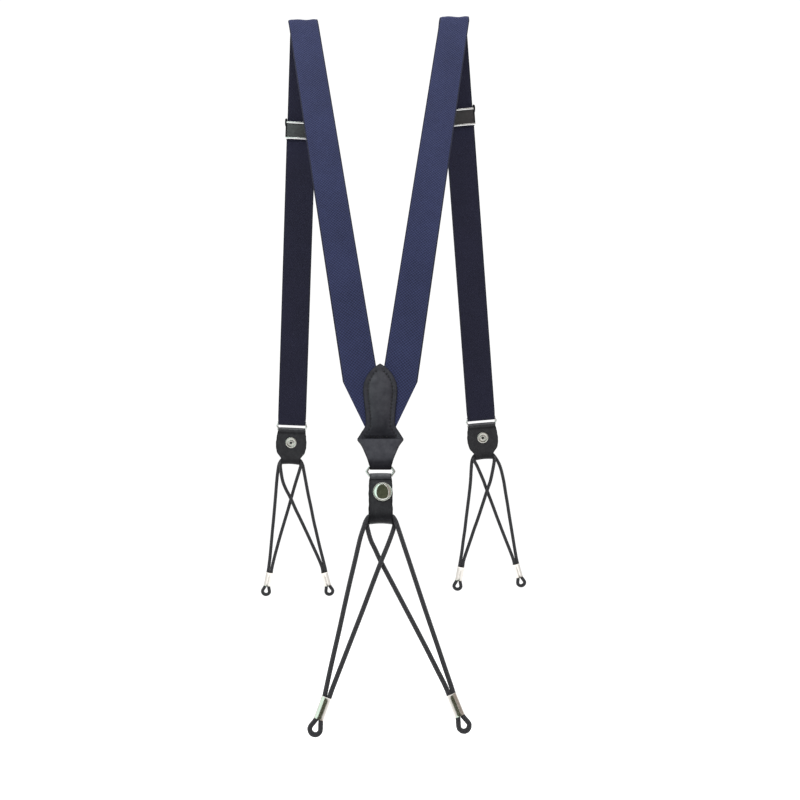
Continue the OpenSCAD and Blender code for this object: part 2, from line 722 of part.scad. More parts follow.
cord(RIGHT, front_right_outer_route);  // front_right_outer_cord
ferrule(RIGHT, front_right_outer_ferrule_at);  // front_right_outer_ferrule
button_loop(RIGHT, front_right_outer_ferrule_at);  // front_right_outer_button_loop
cord(RIGHT, front_right_inner_route);  // front_right_inner_cord
ferrule(RIGHT, front_right_inner_ferrule_at);  // front_right_inner_ferrule
button_loop(RIGHT, front_right_inner_ferrule_at);  // front_right_inner_button_loop
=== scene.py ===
"""Button-on suspenders: the soft pieces, leather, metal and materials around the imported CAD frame.

The row frame is in metres, +Z up, +X to the wearer's right, and the wearer's back is towards -Y.
Local shapes are written in millimetres in the frame of a strap or of an end's ring, where X runs
along the ring's bar, Z up the strap and -Y away from the wearer, and place() takes them to metres."""
import json
import math

import bmesh
import bpy
import numpy as np
from mathutils import Matrix, Vector


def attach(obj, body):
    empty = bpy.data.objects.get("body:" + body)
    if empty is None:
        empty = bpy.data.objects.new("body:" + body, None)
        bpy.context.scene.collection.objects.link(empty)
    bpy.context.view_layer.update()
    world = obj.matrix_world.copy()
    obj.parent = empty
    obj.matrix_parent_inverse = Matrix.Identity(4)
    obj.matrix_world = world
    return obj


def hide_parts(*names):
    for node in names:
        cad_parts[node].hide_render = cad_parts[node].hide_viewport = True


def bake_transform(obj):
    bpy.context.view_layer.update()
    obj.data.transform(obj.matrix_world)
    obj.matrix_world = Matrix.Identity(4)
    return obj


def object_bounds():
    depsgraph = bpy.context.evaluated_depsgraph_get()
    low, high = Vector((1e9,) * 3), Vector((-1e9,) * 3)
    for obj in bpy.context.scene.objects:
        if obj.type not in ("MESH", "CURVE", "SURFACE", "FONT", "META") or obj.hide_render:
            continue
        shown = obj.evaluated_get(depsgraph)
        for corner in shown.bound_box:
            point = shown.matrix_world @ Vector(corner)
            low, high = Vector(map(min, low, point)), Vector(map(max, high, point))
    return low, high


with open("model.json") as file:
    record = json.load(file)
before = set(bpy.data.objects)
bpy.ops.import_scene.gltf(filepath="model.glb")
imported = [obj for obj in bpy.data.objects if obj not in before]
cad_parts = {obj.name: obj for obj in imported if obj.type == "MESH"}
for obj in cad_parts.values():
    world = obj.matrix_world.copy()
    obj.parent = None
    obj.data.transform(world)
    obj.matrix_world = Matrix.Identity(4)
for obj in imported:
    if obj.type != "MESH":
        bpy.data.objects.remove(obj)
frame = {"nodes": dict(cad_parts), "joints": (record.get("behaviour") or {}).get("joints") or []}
cad_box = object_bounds()

MM = 0.001
SIDES = {"left": -1, "right": 1}
ENDS = ("rear", "front_left", "front_right")

# Straps, in millimetres and degrees, as the CAD has them
SHOULDER_X = 64.2
WEBBING_W, WEBBING_T = 25.0, 1.6
BEND_R = 8.0
REAR_LEAN, FRONT_LEAN = 18.6, 5.2
REAR_TURN = 8.84
FRONT_TURN = {"left": 2.4, "right": 4.95}
RING_T = {"rear": 386.9, "front_left": 342.5, "front_right": 339.0}
ADJUSTER_T = {"left": 85.0, "right": 74.0}
SHOULDER_FRONT_T = 28.0
BEND_LEN = math.radians(180 - REAR_LEAN - FRONT_LEAN) * BEND_R
BEND_Z = WEBBING_T / 2 - BEND_R

# Leather and rings
LEATHER_T = 1.3
WIRE_R = 0.9
EYE_R = 0.95
LEAF_MID = EYE_R + LEATHER_T / 2
RING_PITCH = 6.9
RING_W = {"rear": 20.2, "front_left": 28.4, "front_right": 28.4}
BIGHT_Y = WEBBING_T / 2 + EYE_R
SNAP_Z = -18.0
SNAP_X = {"rear": 1.2, "front_left": 0.0, "front_right": 0.0}
FLAP_MID_Y = -3.75
FLAP_FACE_Y = FLAP_MID_Y - LEATHER_T / 2

# Cords
CORD_D = 3.0
CORD_Y = -1.0
FERRULE_L = 13.0
LOOP_DROP = 5.5
LOOP_R = 3.3
BRAID_TURN = 7.2  # the length of cord in which a bundle of its braid goes round once


# ---- Frames ----

def joint(name):
    return next(j for j in frame["joints"] if j["name"] == name)


def end_frame(end):
    """The frame of an end's ring, with its origin on the ring's upper bar."""
    ring, tab = joint(f"{end}_ring_hinge"), joint(f"{end}_tab_hinge")
    x = Vector(joint(f"{end}_flap_hinge")["axis"]).normalized()
    z = (Vector(ring["pos_m"]) - Vector(tab["pos_m"])).normalized()
    turn = Matrix((x, z.cross(x), z)).transposed().to_4x4()
    return Matrix.Translation(ring["pos_m"]) @ turn


def moved(matrix, x=0.0, y=0.0, z=0.0):
    """The frame that lies x, y, z millimetres away, in matrix's own axes."""
    return matrix @ Matrix.Translation(Vector((x, y, z)) * MM)


END = {end: end_frame(end) for end in ENDS}
LEG = {w: moved(END[f"front_{w}"], y=-BIGHT_Y, z=RING_T[f"front_{w}"]) for w in SIDES}


def place(points, matrix):
    """Local millimetres to the row frame."""
    m = np.array(matrix)
    return np.asarray(points, float) * MM @ m[:3, :3].T + m[:3, 3]


def stack(*parts):
    """The parts as the last axis of one array, spread to a common shape."""
    return np.stack(np.broadcast_arrays(*parts), axis=-1)


def on_strap(x, u, n):
    """The CAD's chart of a strap: x across, u along it from the bend's rear edge, n outwards."""
    th, ph = math.radians(REAR_LEAN), math.radians(FRONT_LEAN)
    r, down, run = BEND_R + n, np.minimum(u, 0), np.maximum(u - BEND_LEN, 0)
    a = th + np.clip(u, 0, BEND_LEN) / BEND_R
    y = -r * np.cos(a) + down * math.sin(th) + run * math.sin(ph)
    z = BEND_Z + r * np.sin(a) + down * math.cos(th) - run * math.cos(ph)
    return stack(x, y, z) * MM


# ---- Curves ----

def smooth(x, table):
    """A curve through the table's points, level at each of them."""
    xs, ys = np.array(table, float).T
    x = np.clip(x, xs[0], xs[-1])
    i = np.clip(np.searchsorted(xs, x, side="right") - 1, 0, len(xs) - 2)
    s = (x - xs[i]) / (xs[i + 1] - xs[i])
    return ys[i] + (ys[i + 1] - ys[i]) * s * s * (3 - 2 * s)


def spline(points, step, closed=False):
    """Points a step apart along the Catmull-Rom curve through these points."""
    p = np.array(points, float)
    p = np.vstack([p[-1:], p, p[:2]] if closed else [2 * p[0] - p[1], p, 2 * p[-1] - p[-2]])
    s = np.linspace(0, 1, 16, endpoint=False)[:, None]
    parts = []
    for a, b, c, d in zip(p, p[1:], p[2:], p[3:]):
        bend = s * (c - a) + s**2 * (2 * a - 5 * b + 4 * c - d) + s**3 * (3 * b - a - 3 * c + d)
        parts.append(b + bend / 2)
    line = even(np.vstack([*parts, p[-2:-1]]), step)
    return line[:-1] if closed else line


def lengths(line):
    """How far along the line each of its points is."""
    return np.concatenate([[0], np.cumsum(np.linalg.norm(np.diff(line, axis=0), axis=1))])


def even(line, step):
    """The same line with its points about a step apart."""
    length = lengths(line)
    at = np.linspace(0, length[-1], max(2, round(length[-1] / step) + 1))
    return stack(*(np.interp(at, length, line[:, k]) for k in range(line.shape[1])))


def arc(centre, radius, start, stop, steps):
    """Points [y, z] of an arc, angles in degrees from +y towards +z."""
    a = np.radians(np.linspace(start, stop, steps + 1))
    return stack(centre[0] + radius * np.cos(a), centre[1] + radius * np.sin(a))


def around(count):
    """This many angles, evenly round a circle."""
    return np.linspace(0, 2 * np.pi, count, endpoint=False)


# ---- Meshes ----

def into_scene(name, data):
    obj = bpy.data.objects.new(name, data)
    bpy.context.scene.collection.objects.link(obj)
    return obj


def link(name, points, faces, material, sharp=40):
    """A mesh object with its normals outwards, smooth except where it turns by more than sharp."""
    mesh = bpy.data.meshes.new(name)
    mesh.from_pydata(np.asarray(points).tolist(), [], faces)
    work = bmesh.new()
    work.from_mesh(mesh)
    bmesh.ops.recalc_face_normals(work, faces=work.faces)
    work.to_mesh(mesh)
    work.free()
    mesh.shade_smooth()
    mesh.set_sharp_from_angle(angle=math.radians(sharp))
    mesh.materials.append(material)
    return into_scene(name, mesh)


def give(obj, name, values):
    """A named value at each vertex, for the material to read."""
    values = np.asarray(values, np.float32)
    kind, field = ("FLOAT", "value") if values.ndim == 1 else ("FLOAT_VECTOR", "vector")
    layer = obj.data.attributes.new(name, kind, "POINT")
    layer.data.foreach_set(field, values.ravel())


def grid(rows, columns, first=0, closed=False):
    """Quads over a grid of vertices, closed round its columns or not."""
    span = columns if closed else columns - 1
    return [
        (first + i * columns + j, first + i * columns + (j + 1) % columns,
         first + (i + 1) * columns + (j + 1) % columns, first + (i + 1) * columns + j)
        for i in range(rows - 1) for j in range(span)
    ]


def slab(name, outer, inner, material, **attributes):
    """A closed solid between two grids of points. Attributes are (outer, inner) pairs of grids."""
    rows, cols = outer.shape[:2]
    count = rows * cols
    faces = grid(rows, cols) + [f[::-1] for f in grid(rows, cols, count)]
    for j in (0, cols - 1):
        faces += [(i * cols + j, (i + 1) * cols + j, count + (i + 1) * cols + j, count + i * cols + j)
                  for i in range(rows - 1)]
    for i in (0, rows - 1):
        faces += [(i * cols + j, i * cols + j + 1, count + i * cols + j + 1, count + i * cols + j)
                  for j in range(cols - 1)]
    obj = link(name, np.vstack([outer.reshape(-1, 3), inner.reshape(-1, 3)]), faces, material)
    for key, (a, b) in attributes.items():
        tail = (3,) if a.ndim == 3 else ()
        give(obj, key, np.concatenate([a.reshape(-1, *tail), b.reshape(-1, *tail)]))
    return obj


def columns_at(count):
    """Places across a strip from -1 to 1, closer together towards its edges."""
    u = np.linspace(-1, 1, count + 1)
    return np.sign(u) * (1 - (1 - np.abs(u)) ** 1.5)


SOFT_EDGE = 0.45  # how far in from a strip's edge its faces round off


def strip(name, path, half_width, thickness, material, matrix, outward, free, columns=26, relief=None,
          along_start=0.0, faced=None, arch=None, worn=None):
    """A strip of webbing or leather that follows a side-view path of [y, z] points.
    outward is 1 or -1, the side of the path that its outer face is on. free says whether its first
    and its last end are cut edges. faced says how far each point of the path shows the good face
    outside, from 1 to 0. arch lifts places by some z, and the last argument gives the painted light at
    each place: painted highlight, lighter and glossier, above 0, and painted shade, darker, down to -1."""
    path = np.asarray(path, float)
    tangent = np.gradient(path, axis=0)
    tangent /= np.linalg.norm(tangent, axis=1)[:, None]
    normal = outward * stack(-tangent[:, 1], tangent[:, 0])
    along = lengths(path)
    width = half_width(path[:, 0], path[:, 1], along)
    across = columns_at(columns)
    x = width[:, None] * across
    inset = width[:, None] * (1 - np.abs(across))
    if free[0]:
        inset = np.minimum(inset, along[:, None])
    if free[1]:
        inset = np.minimum(inset, along[-1] - along[:, None])
    drop = SOFT_EDGE * np.clip(1 - inset / SOFT_EDGE, 0, 1) ** 2 * 0.6
    y, z = path[:, :1], path[:, 1:]
    rise = relief(along[:, None], x, inset, z) if relief else 0 * x
    faces = []
    for offset in (thickness / 2 - drop + rise, drop * 0.7 - thickness / 2):
        yz = path[:, None, :] + normal[:, None, :] * offset[..., None]
        if arch:
            yz[..., 1] += arch(across, z)
        faces.append(place(np.concatenate([x[..., None], yz], axis=-1), matrix))
    # Leather only: painted highlight and painted shade at each vertex, for the material's colour and gloss.
    if worn:
        painted_light_gloss = worn(x, y, z) + 0 * x
        return slab(name, *faces, material, edge=(inset, inset), worn=(painted_light_gloss, painted_light_gloss))
    down = along_start + along[:, None]
    good = 1.0 if faced is None else faced[:, None]
    return slab(name, *faces, material, weave=(stack(x, down, good), stack(x, down, 1 - good)))


def loft(name, rings, material, sharp, closed=False):
    """A skin over rings of points, capped, or closed on itself like a ring of wire."""
    rings = np.asarray(rings)
    rows, cols = rings.shape[:2]
    faces = grid(rows, cols, closed=True)
    if closed:
        faces += [((rows - 1) * cols + j, (rows - 1) * cols + (j + 1) % cols, (j + 1) % cols, j)
                  for j in range(cols)]
    else:
        faces += [tuple(range(cols))[::-1], tuple((rows - 1) * cols + j for j in range(cols))]
    return link(name, rings.reshape(-1, 3), faces, material, sharp)


def turned(name, profile, matrix, material, steps=72, sharp=40):
    """A piece turned about the depth axis from [radius, height towards -Y] points, closed on itself."""
    a = around(steps)
    rings = [stack(r * np.cos(a), -h, r * np.sin(a)) for r, h in profile]
    return loft(name, place(rings, matrix), material, closed=profile[0][0] > 0, sharp=sharp)


def tube(path, radius, sides, closed=False):
    """Rings of a tube about a path, carried along it without twisting."""
    path = np.asarray(path, float)
    ahead = np.roll(path, -1, 0) - np.roll(path, 1, 0) if closed else np.gradient(path, axis=0)
    tangent = ahead / np.linalg.norm(ahead, axis=1)[:, None]
    side = np.cross(tangent[0], [0, 1, 0])
    a = around(sides)
    rings = []
    for i, (p, t) in enumerate(zip(path, tangent)):
        side = side - t * (side @ t)
        side /= np.linalg.norm(side)
        r = radius[i] if np.ndim(radius) else np.full(sides, radius)
        rings.append(p + r[:, None] * (np.cos(a)[:, None] * side + np.sin(a)[:, None] * np.cross(t, side)))
    return np.array(rings)


def bevelled(name, node, material, width):
    """A piece with the CAD node's own shape and rounded edges, in its place."""
    obj = into_scene(name, frame["nodes"][node].data.copy())
    work = bmesh.new()
    work.from_mesh(obj.data)
    bmesh.ops.remove_doubles(work, verts=work.verts, dist=1e-6)
    bmesh.ops.dissolve_limit(work, angle_limit=math.radians(2), verts=work.verts, edges=work.edges)
    hard = [e for e in work.edges if e.is_manifold and e.calc_face_angle() > math.radians(35)]
    bmesh.ops.bevel(work, geom=hard, offset=width * MM, segments=3, profile=0.5, affect="EDGES",
                    clamp_overlap=True)
    bmesh.ops.triangulate(work, faces=[f for f in work.faces if len(f.verts) > 4])
    work.to_mesh(obj.data)
    work.free()
    obj.data.shade_smooth()
    obj.data.set_sharp_from_angle(angle=math.radians(32))
    obj.data.materials.clear()
    obj.data.materials.append(material)
    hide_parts(node)
    return obj


def blend(obj, matrix, start, end):
    """Bakes the piece's placing into its mesh. The two places are taken to the row frame and not used."""
    start, end = place([start, end], matrix)
    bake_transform(obj)


def finish_piece(obj, body, slot, *nodes):
    """Rides the piece on its body and hides the CAD nodes that it stands for. The slot, its finish, is not
    used.
    """
    if body:
        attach(obj, body)
    if nodes:
        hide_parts(*nodes)
    return obj


# ---- Material nodes ----

def linear(red, green, blue):
    """A screen colour, 0 to 255, as the renderer's linear values."""
    c = np.array([red, green, blue]) / 255
    return tuple(np.where(c < 0.04045, c / 12.92, ((c + 0.055) / 1.055) ** 2.4).tolist())


def feed(mat, socket, value):
    """Links the value to the socket, or sets it there."""
    if isinstance(value, bpy.types.NodeSocket):
        mat.node_tree.links.new(value, socket)
    else:
        socket.default_value = (*value, 1) if socket.type == "RGBA" else value


def material(name, **sockets):
    """A new material and its shader, with these values on the shader's own sockets."""
    mat = bpy.data.materials.new(name)
    mat.use_nodes = True
    shader = mat.node_tree.nodes["Principled BSDF"]
    for key, value in sockets.items():
        feed(mat, shader.inputs[key.replace("_", " ")], value)
    return mat, shader


def add(mat, kind, values=None, **settings):
    """A node with its settings, and its inputs set to values or linked from sockets."""
    node = mat.node_tree.nodes.new("ShaderNode" + kind)
    for key, value in settings.items():
        setattr(node, key, value)
    for key, value in (values or {}).items():
        feed(mat, node.inputs[key], value)
    return node


def maths(mat, operation, *values):
    return add(mat, "Math", dict(enumerate(values)), operation=operation).outputs[0]


def total(mat, base, *parts):
    """base plus each part's value times its weight."""
    for value, weight in parts:
        base = maths(mat, "MULTIPLY_ADD", value, weight, base)
    return base


def product(mat, value, *others):
    for other in others:
        value = maths(mat, "MULTIPLY", value, other)
    return value


def scaled(mat, vector, factor):
    return add(mat, "VectorMath", {0: vector, "Scale": factor}, operation="SCALE").outputs[0]


def wave(mat, value, length):
    """A sine of this wavelength, from -1 to 1."""
    return maths(mat, "SINE", maths(mat, "MULTIPLY", value, 2 * math.pi / length))


def ramp(mat, value, low, high, to_low=0.0, to_high=1.0):
    """value from low..high to to_low..to_high, smoothly and held outside."""
    node = add(mat, "MapRange", {"Value": value, "From Min": low, "From Max": high,
                                 "To Min": to_low, "To Max": to_high}, interpolation_type="SMOOTHSTEP")
    return node.outputs["Result"]


def blend_colour(mat, share, a, b):
    node = add(mat, "Mix", data_type="RGBA", clamp_factor=True)
    for key, value in (("Factor_Float", share), ("A_Color", a), ("B_Color", b)):
        feed(mat, next(s for s in node.inputs if s.identifier == key), value)
    return next(s for s in node.outputs if s.identifier == "Result_Color")


def millimetres(mat):
    """The place in the row frame, in millimetres."""
    return scaled(mat, add(mat, "TexCoord").outputs["Object"], 1 / MM)


def noise(mat, where, scale, detail=3.0, rough=0.55):
    return add(mat, "TexNoise", {"Vector": where, "Scale": scale, "Detail": detail,
                                 "Roughness": rough}).outputs["Fac"]


def split(mat, attribute):
    """The three parts of a named vector value on the mesh."""
    vector = add(mat, "Attribute", attribute_name=attribute).outputs["Vector"]
    return add(mat, "SeparateXYZ", {0: vector}).outputs


def connect(mat, shader, colour, rough=None, specular=None, height=None, depth=None):
    """Links a colour, gloss and a bump height, with its depth in millimetres, to the shader."""
    feed(mat, shader.inputs["Base Color"], colour)
    if rough is not None:
        feed(mat, shader.inputs["Roughness"], rough)
    if specular is not None:
        feed(mat, shader.inputs["Specular IOR Level"], specular)
    if height is not None:
        bump = add(mat, "Bump", {"Height": height, "Strength": 1.0, "Distance": depth * MM})
        feed(mat, shader.inputs["Normal"], bump.outputs["Normal"])


# ---- Materials ----

NAVY = linear(27, 31, 54)
NAVY_INNER = linear(20, 20, 34)
SELVEDGE = linear(30, 31, 40)
EYE_PITCH, RIB_PITCH = 2.4, 0.65  # millimetres between the twill's eyes and between its fine ribs


def make_webbing(name, outer, inner):
    """Elastic webbing: a bird's-eye twill between plain dark selvedges, plainer on its inner face."""
    mat, shader = material(name, Roughness=0.8, Specular_IOR_Level=0.16, Sheen_Weight=0.1,
                           Sheen_Roughness=0.45, Sheen_Tint=(0.62, 0.62, 1.0))
    x, y, side = split(mat, "weave")
    from_middle = maths(mat, "ABSOLUTE", x)
    selvedge = ramp(mat, from_middle, 11.3, 11.8)
    piping = maths(mat, "SUBTRACT", ramp(mat, from_middle, 10.6, 10.9), ramp(mat, from_middle, 11.1, 11.4))
    eyes = product(mat, wave(mat, x, EYE_PITCH), wave(mat, y, EYE_PITCH),
                   total(mat, 1.0, (selvedge, -1.0)), ramp(mat, side, 0, 1, 0.4, 1.0))
    ribs = product(mat, wave(mat, x, RIB_PITCH), wave(mat, y, RIB_PITCH))
    height = total(mat, eyes, (ribs, 0.35))
    spots = noise(mat, millimetres(mat), 0.3)
    slubs = noise(mat, millimetres(mat), 0.03, detail=2.0)
    tone = total(mat, 0.6, (height, 0.5), (spots, 0.35), (slubs, 0.5), (piping, 0.14))
    tone = product(mat, tone, total(mat, 1.0, (selvedge, -0.42)))
    face = blend_colour(mat, side, inner, outer)
    face = blend_colour(mat, product(mat, selvedge, 0.7), face, SELVEDGE)
    connect(mat, shader, scaled(mat, face, tone), height=height, depth=0.16)
    return mat


def make_leather(name, base, rough, gloss):
    """Smooth dyed leather: fine pebbled grain, soft creases, dark edges, and painted light: lighter and
    glossier under a painted highlight, darker under painted shade.
    """
    mat, shader = material(name)
    where = millimetres(mat)
    warped = add(mat, "VectorMath", {0: where, 1: noise(mat, where, 0.8)}, operation="ADD").outputs[0]
    cells = add(mat, "TexVoronoi", {"Vector": warped, "Scale": 2.1}, feature="SMOOTH_F1").outputs["Distance"]
    pores = noise(mat, where, 6.0, detail=2.0)
    creases = noise(mat, where, 0.22, detail=6.0, rough=0.62)
    edge = add(mat, "Attribute", attribute_name="edge").outputs["Fac"]
    worn = add(mat, "Attribute", attribute_name="worn").outputs["Fac"]
    painted = ramp(mat, edge, 0.15, 0.8)
    # Painted light: the per-vertex value lifts the tone for painted highlights, lowers it for painted shade,
    # and raises the gloss with it.
    tone = product(mat, total(mat, 0.52, (creases, 0.7), (cells, 0.25)),
                   ramp(mat, edge, 0.1, 0.9, 0.45, 1.0), total(mat, 1.0, (worn, 0.65)))
    painted_light_gloss = product(mat, total(mat, 1.0, (worn, 0.9)), ramp(mat, edge, 0.1, 0.9, 0.4, 1.0),
                     ramp(mat, creases, 0.3, 0.7, 0.8 * gloss, 1.2 * gloss))
    shine = total(mat, rough - 0.12, (creases, 0.25), (painted, 0.05))
    height = total(mat, 0.0, (cells, 0.7), (pores, 0.2), (creases, 0.8))
    connect(mat, shader, scaled(mat, base, tone), rough=shine, specular=painted_light_gloss, height=height, depth=0.07)
    return mat


def make_thread():
    """Waxed sewing thread, two plies twisted."""
    mat, shader = material("stitching_thread", Roughness=0.5, Specular_IOR_Level=0.3)
    x, y, _ = split(mat, "braid")
    ply = wave(mat, maths(mat, "ADD", x, y), 0.55)
    base = blend_colour(mat, ramp(mat, ply, -1, 1), linear(4, 4, 5), linear(13, 13, 15))
    connect(mat, shader, base, height=ply, depth=0.05)
    return mat


def make_cord():
    """Round braided cord: crossing bundles of fine fibre, slightly fuzzy, with painted shade in the grooves
    between the bundles.
    """
    mat, shader = material("braided_cord", Roughness=0.74, Specular_IOR_Level=0.2, Sheen_Weight=0.1,
                           Sheen_Roughness=0.5)
    round_, along, bundle = split(mat, "braid")
    left = wave(mat, maths(mat, "ADD", round_, along), 0.34)
    right = wave(mat, maths(mat, "SUBTRACT", round_, along), 0.34)
    fibre = maths(mat, "MAXIMUM", left, right)
    fuzz = noise(mat, millimetres(mat), 5.0)
    # Painted shade: the colour darkens in the grooves between the braid's bundles.
    tone = total(mat, 0.02, (ramp(mat, bundle, 0, 1), 0.75), (fuzz, 0.5), (fibre, 0.08))
    connect(mat, shader, scaled(mat, linear(38, 38, 41), tone),
            height=maths(mat, "ADD", fibre, fuzz), depth=0.05)
    return mat


def make_metal(name, colour, rough, grain=0.0, spots=0.06):
    """Plated metal: handling marks in its gloss, faint brushing where grain is above 0."""
    mat, shader = material(name, Metallic=1.0)
    where = millimetres(mat)
    smear = noise(mat, where, 0.45, detail=4.0)
    brushed = add(mat, "VectorMath", {0: where, 1: (0.35, 9.0, 9.0)}, operation="MULTIPLY").outputs[0]
    lines = noise(mat, brushed, 1.0, detail=2.0)
    toned = scaled(mat, colour, total(mat, 1.0, (smear, -0.12)))
    shine = total(mat, rough, (smear, spots), (lines, grain))
    height = total(mat, 0.0, (lines, grain), (smear, 0.1))
    connect(mat, shader, toned, rough=shine, height=height, depth=0.02)
    return mat


webbing_mat = make_webbing("navy_webbing", NAVY, NAVY_INNER)
leather_mat = make_leather("charcoal_leather", linear(27, 27, 33), 0.42, 0.32)
tab_leather_mat = make_leather("black_tab_leather", linear(25, 25, 28), 0.48, 0.24)
thread_mat = make_thread()
cord_mat = make_cord()
chrome_mat = make_metal("snap_chrome", linear(222, 224, 218), 0.05, spots=0.04)
nickel_mat = make_metal("satin_nickel", linear(178, 177, 171), 0.3, grain=0.08)
wire_mat = make_metal("ring_wire", linear(196, 197, 196), 0.17)
ferrule_mat = make_metal("ferrule_nickel", linear(214, 210, 204), 0.13)
silver_mat = make_metal("adjuster_silver", linear(214, 214, 214), 0.2, grain=0.06)
plate_mat = make_metal("adjuster_black", linear(86, 85, 88), 0.4, grain=0.1)
lacquer_mat = make_metal("adjuster_lacquer", linear(38, 38, 40), 0.42, grain=0.05)


# ---- Camera ----

def make_camera():
    data = bpy.data.cameras.new("camera")
    data.sensor_width = 36
    data.lens = 31.5
    data.shift_x = 0.035
    data.clip_start = 0.01
    obj = into_scene("camera", data)
    obj.location = (-0.0057, -0.600, -0.3268)
    obj.rotation_euler = (math.pi / 2, 0, 0)
    bpy.context.scene.camera = obj


# ---- Cords ----

# Each cord: its end, the ferrule's top [x, z] and lean in degrees, and its route up the near strand,
# through the tab's fold and down the far strand, in the frame of the end's ring.
CORDS = {
    "rear_left": ("rear", (-33, -142.6, 20.5), [
        (-34.2, -1, -141.4), (-33.4, -1, -137.5), (-31.2, -1, -127), (-28.5, -1, -115), (-25.8, -1, -103),
        (-23, -1, -90), (-19.9, -1, -76), (-16.6, -1.2, -62), (-13.5, -1.6, -48.5), (-11.3, -2, -41.5),
        (-9.4, -2, -36.2), (-6.6, -1.6, -33.4), (0, -1.1, -34.6), (6.6, -0.6, -35.9), (8.9, 0.2, -38),
        (8.2, 0.3, -42), (5.8, -1.2, -48.7), (3.4, -2.2, -54.7), (0.3, -2.7, -62.1), (-5.2, -2.4, -76),
        (-10.6, -1.6, -90), (-15.8, -1, -103), (-20.6, -1, -115), (-25.4, -1, -127), (-29.6, -1, -137.5),
        (-31.3, -1, -142.3)]),
    "rear_right": ("rear", (42.1, -140.9, -22), [
        (43.3, -1, -139.7), (42.2, -1, -136), (39.2, -1, -127), (35.3, -1, -115), (31.3, -1, -103),
        (27, -1, -90), (22.5, -1, -76), (18, -1.2, -62), (13.6, -1.6, -48.5), (11.3, -2, -41.5),
        (9.4, -2, -36.2), (6.6, -1.6, -33.4), (0, -1.1, -34.6), (-6.6, -0.6, -35.9), (-8.9, 0.2, -38),
        (-8.4, 0.3, -42), (-6.5, 0.3, -48.7), (-3.6, 0.6, -54.7), (-0.1, 0.8, -62.1), (7.3, 0.4, -76),
        (14.7, -0.4, -90), (21.6, -1, -103), (27.9, -1, -115), (34, -1, -127), (38.6, -1, -136),
        (40.5, -1, -140.6)]),
    "front_left_outer": ("front_left", (16.4, -140.9, -9), [
        (17.9, -1, -140), (17.4, -1, -136), (16.5, -1, -126), (15.8, -1, -115), (15.1, -1, -103),
        (14.3, -1, -91), (13.6, -1, -79), (13, -1.2, -67), (12.4, -1.6, -54), (11.7, -2, -45),
        (10.5, -2, -38.3), (7, -1.6, -34), (0, -1.1, -34.6), (-7, -0.6, -35.9), (-9.2, 0.2, -38.6),
        (-8.3, 0.3, -43.5), (-5.6, -1.2, -53.2), (-3.4, -2.2, -61.5), (-1.3, -2.7, -70.2),
        (1.3, -2.4, -81), (3.9, -1.6, -91.2), (6.9, -1, -103), (9.8, -1, -115), (12.3, -1, -126),
        (14.2, -1, -135.5), (14.9, -1, -140.4)]),
    "front_left_inner": ("front_left", (-34.2, -138.8, 17), [
        (-35.6, -1, -137.5), (-34.6, -1, -133.5), (-31.9, -1, -124), (-29, -1, -114), (-26.1, -1, -103),
        (-22.8, -1, -90.6), (-19.9, -1, -78), (-16.9, -1.2, -66), (-14, -1.6, -53), (-12.2, -2, -45),
        (-10.5, -2, -38.3), (-7, -1.6, -34), (0, -1.1, -34.6), (7, -0.6, -35.9), (9.2, 0.2, -38.6),
        (8.9, 0.3, -43.5), (6.9, 0.3, -53.7), (3.6, 0.6, -61.5), (-1.3, 0.8, -70.2), (-6.4, 0.4, -81),
        (-11.5, -0.4, -91.2), (-17.3, -1, -103), (-22.7, -1, -114), (-27.6, -1, -124), (-31.8, -1, -133.5),
        (-32.9, -1, -138.2)]),
    "front_right_outer": ("front_right", (-22.5, -139, 11.5), [
        (-24, -1, -138), (-23.4, -1, -134), (-22.4, -1, -124), (-21.5, -1, -114), (-20.6, -1, -104),
        (-19.6, -1, -93), (-18.7, -1, -82), (-17.7, -1.2, -71), (-16.7, -1.6, -59.5), (-14.6, -2, -47),
        (-11.2, -2, -38.8), (-7, -1.6, -34), (0, -1.1, -34.6), (7, -0.6, -35.9), (9, 0.2, -38.4),
        (6.6, 0.3, -44.5), (2, -1.2, -57.5), (0.3, -2.2, -63.4), (-1.5, -2.7, -69.6), (-5.1, -2.4, -82),
        (-8.4, -1.6, -94), (-11.3, -1, -104), (-14.3, -1, -114), (-17.4, -1, -124), (-20.3, -1, -134),
        (-21.1, -1, -138.5)]),
    "front_right_inner": ("front_right", (28.4, -137.4, -14.5), [
        (29.6, -1, -136.2), (28.6, -1, -132), (26.5, -1, -123), (24.5, -1, -113), (22.3, -1, -103),
        (20.2, -1, -92), (18, -1, -81), (15.8, -1.2, -70), (13.6, -1.6, -58), (12.1, -2, -47),
        (10.5, -2, -38.4), (7, -1.6, -34), (0, -1.1, -34.6), (-7, -0.6, -35.9), (-9.2, 0.2, -38.6),
        (-8.2, 0.3, -45), (-4.6, 0.3, -58), (-2, 0.6, -64.2), (0.4, 0.8, -69.8), (5.2, 0.4, -82),
        (9.9, -0.4, -94), (13.7, -1, -103), (17.8, -1, -113), (22, -1, -123), (25.6, -1, -132),
        (26.7, -1, -136.9)]),
}
FOLD_POINT = 12  # the route's point in the middle of the tab's fold
STRAND_X = 1.45  # each strand's distance from the ferrule's axis


def ferrule_frame(cord):
    end, (x, z, lean), _ = CORDS[cord]
    return moved(END[end], x, CORD_Y, z) @ Matrix.Rotation(math.radians(lean), 4, "Y")


def button_bight(side):
    """The cord through its ferrule, round the teardrop bight and back, in the ferrule's frame."""
    centre = -FERRULE_L - LOOP_DROP
    neck = [(STRAND_X, -1.5), (STRAND_X, -7), (STRAND_X, -12.4), (1.62, -13.8), (2.15, -15.4), (2.85, -17.2)]
    half = [*neck, *((LOOP_R * math.cos(a), centre + LOOP_R * math.sin(a))
                     for a in np.radians([-8, -36, -63]))]
    whole = [*half, (0, centre - LOOP_R), *((-x, z) for x, z in reversed(half))]
    return [(side * x, 0, z) for x, z in whole]


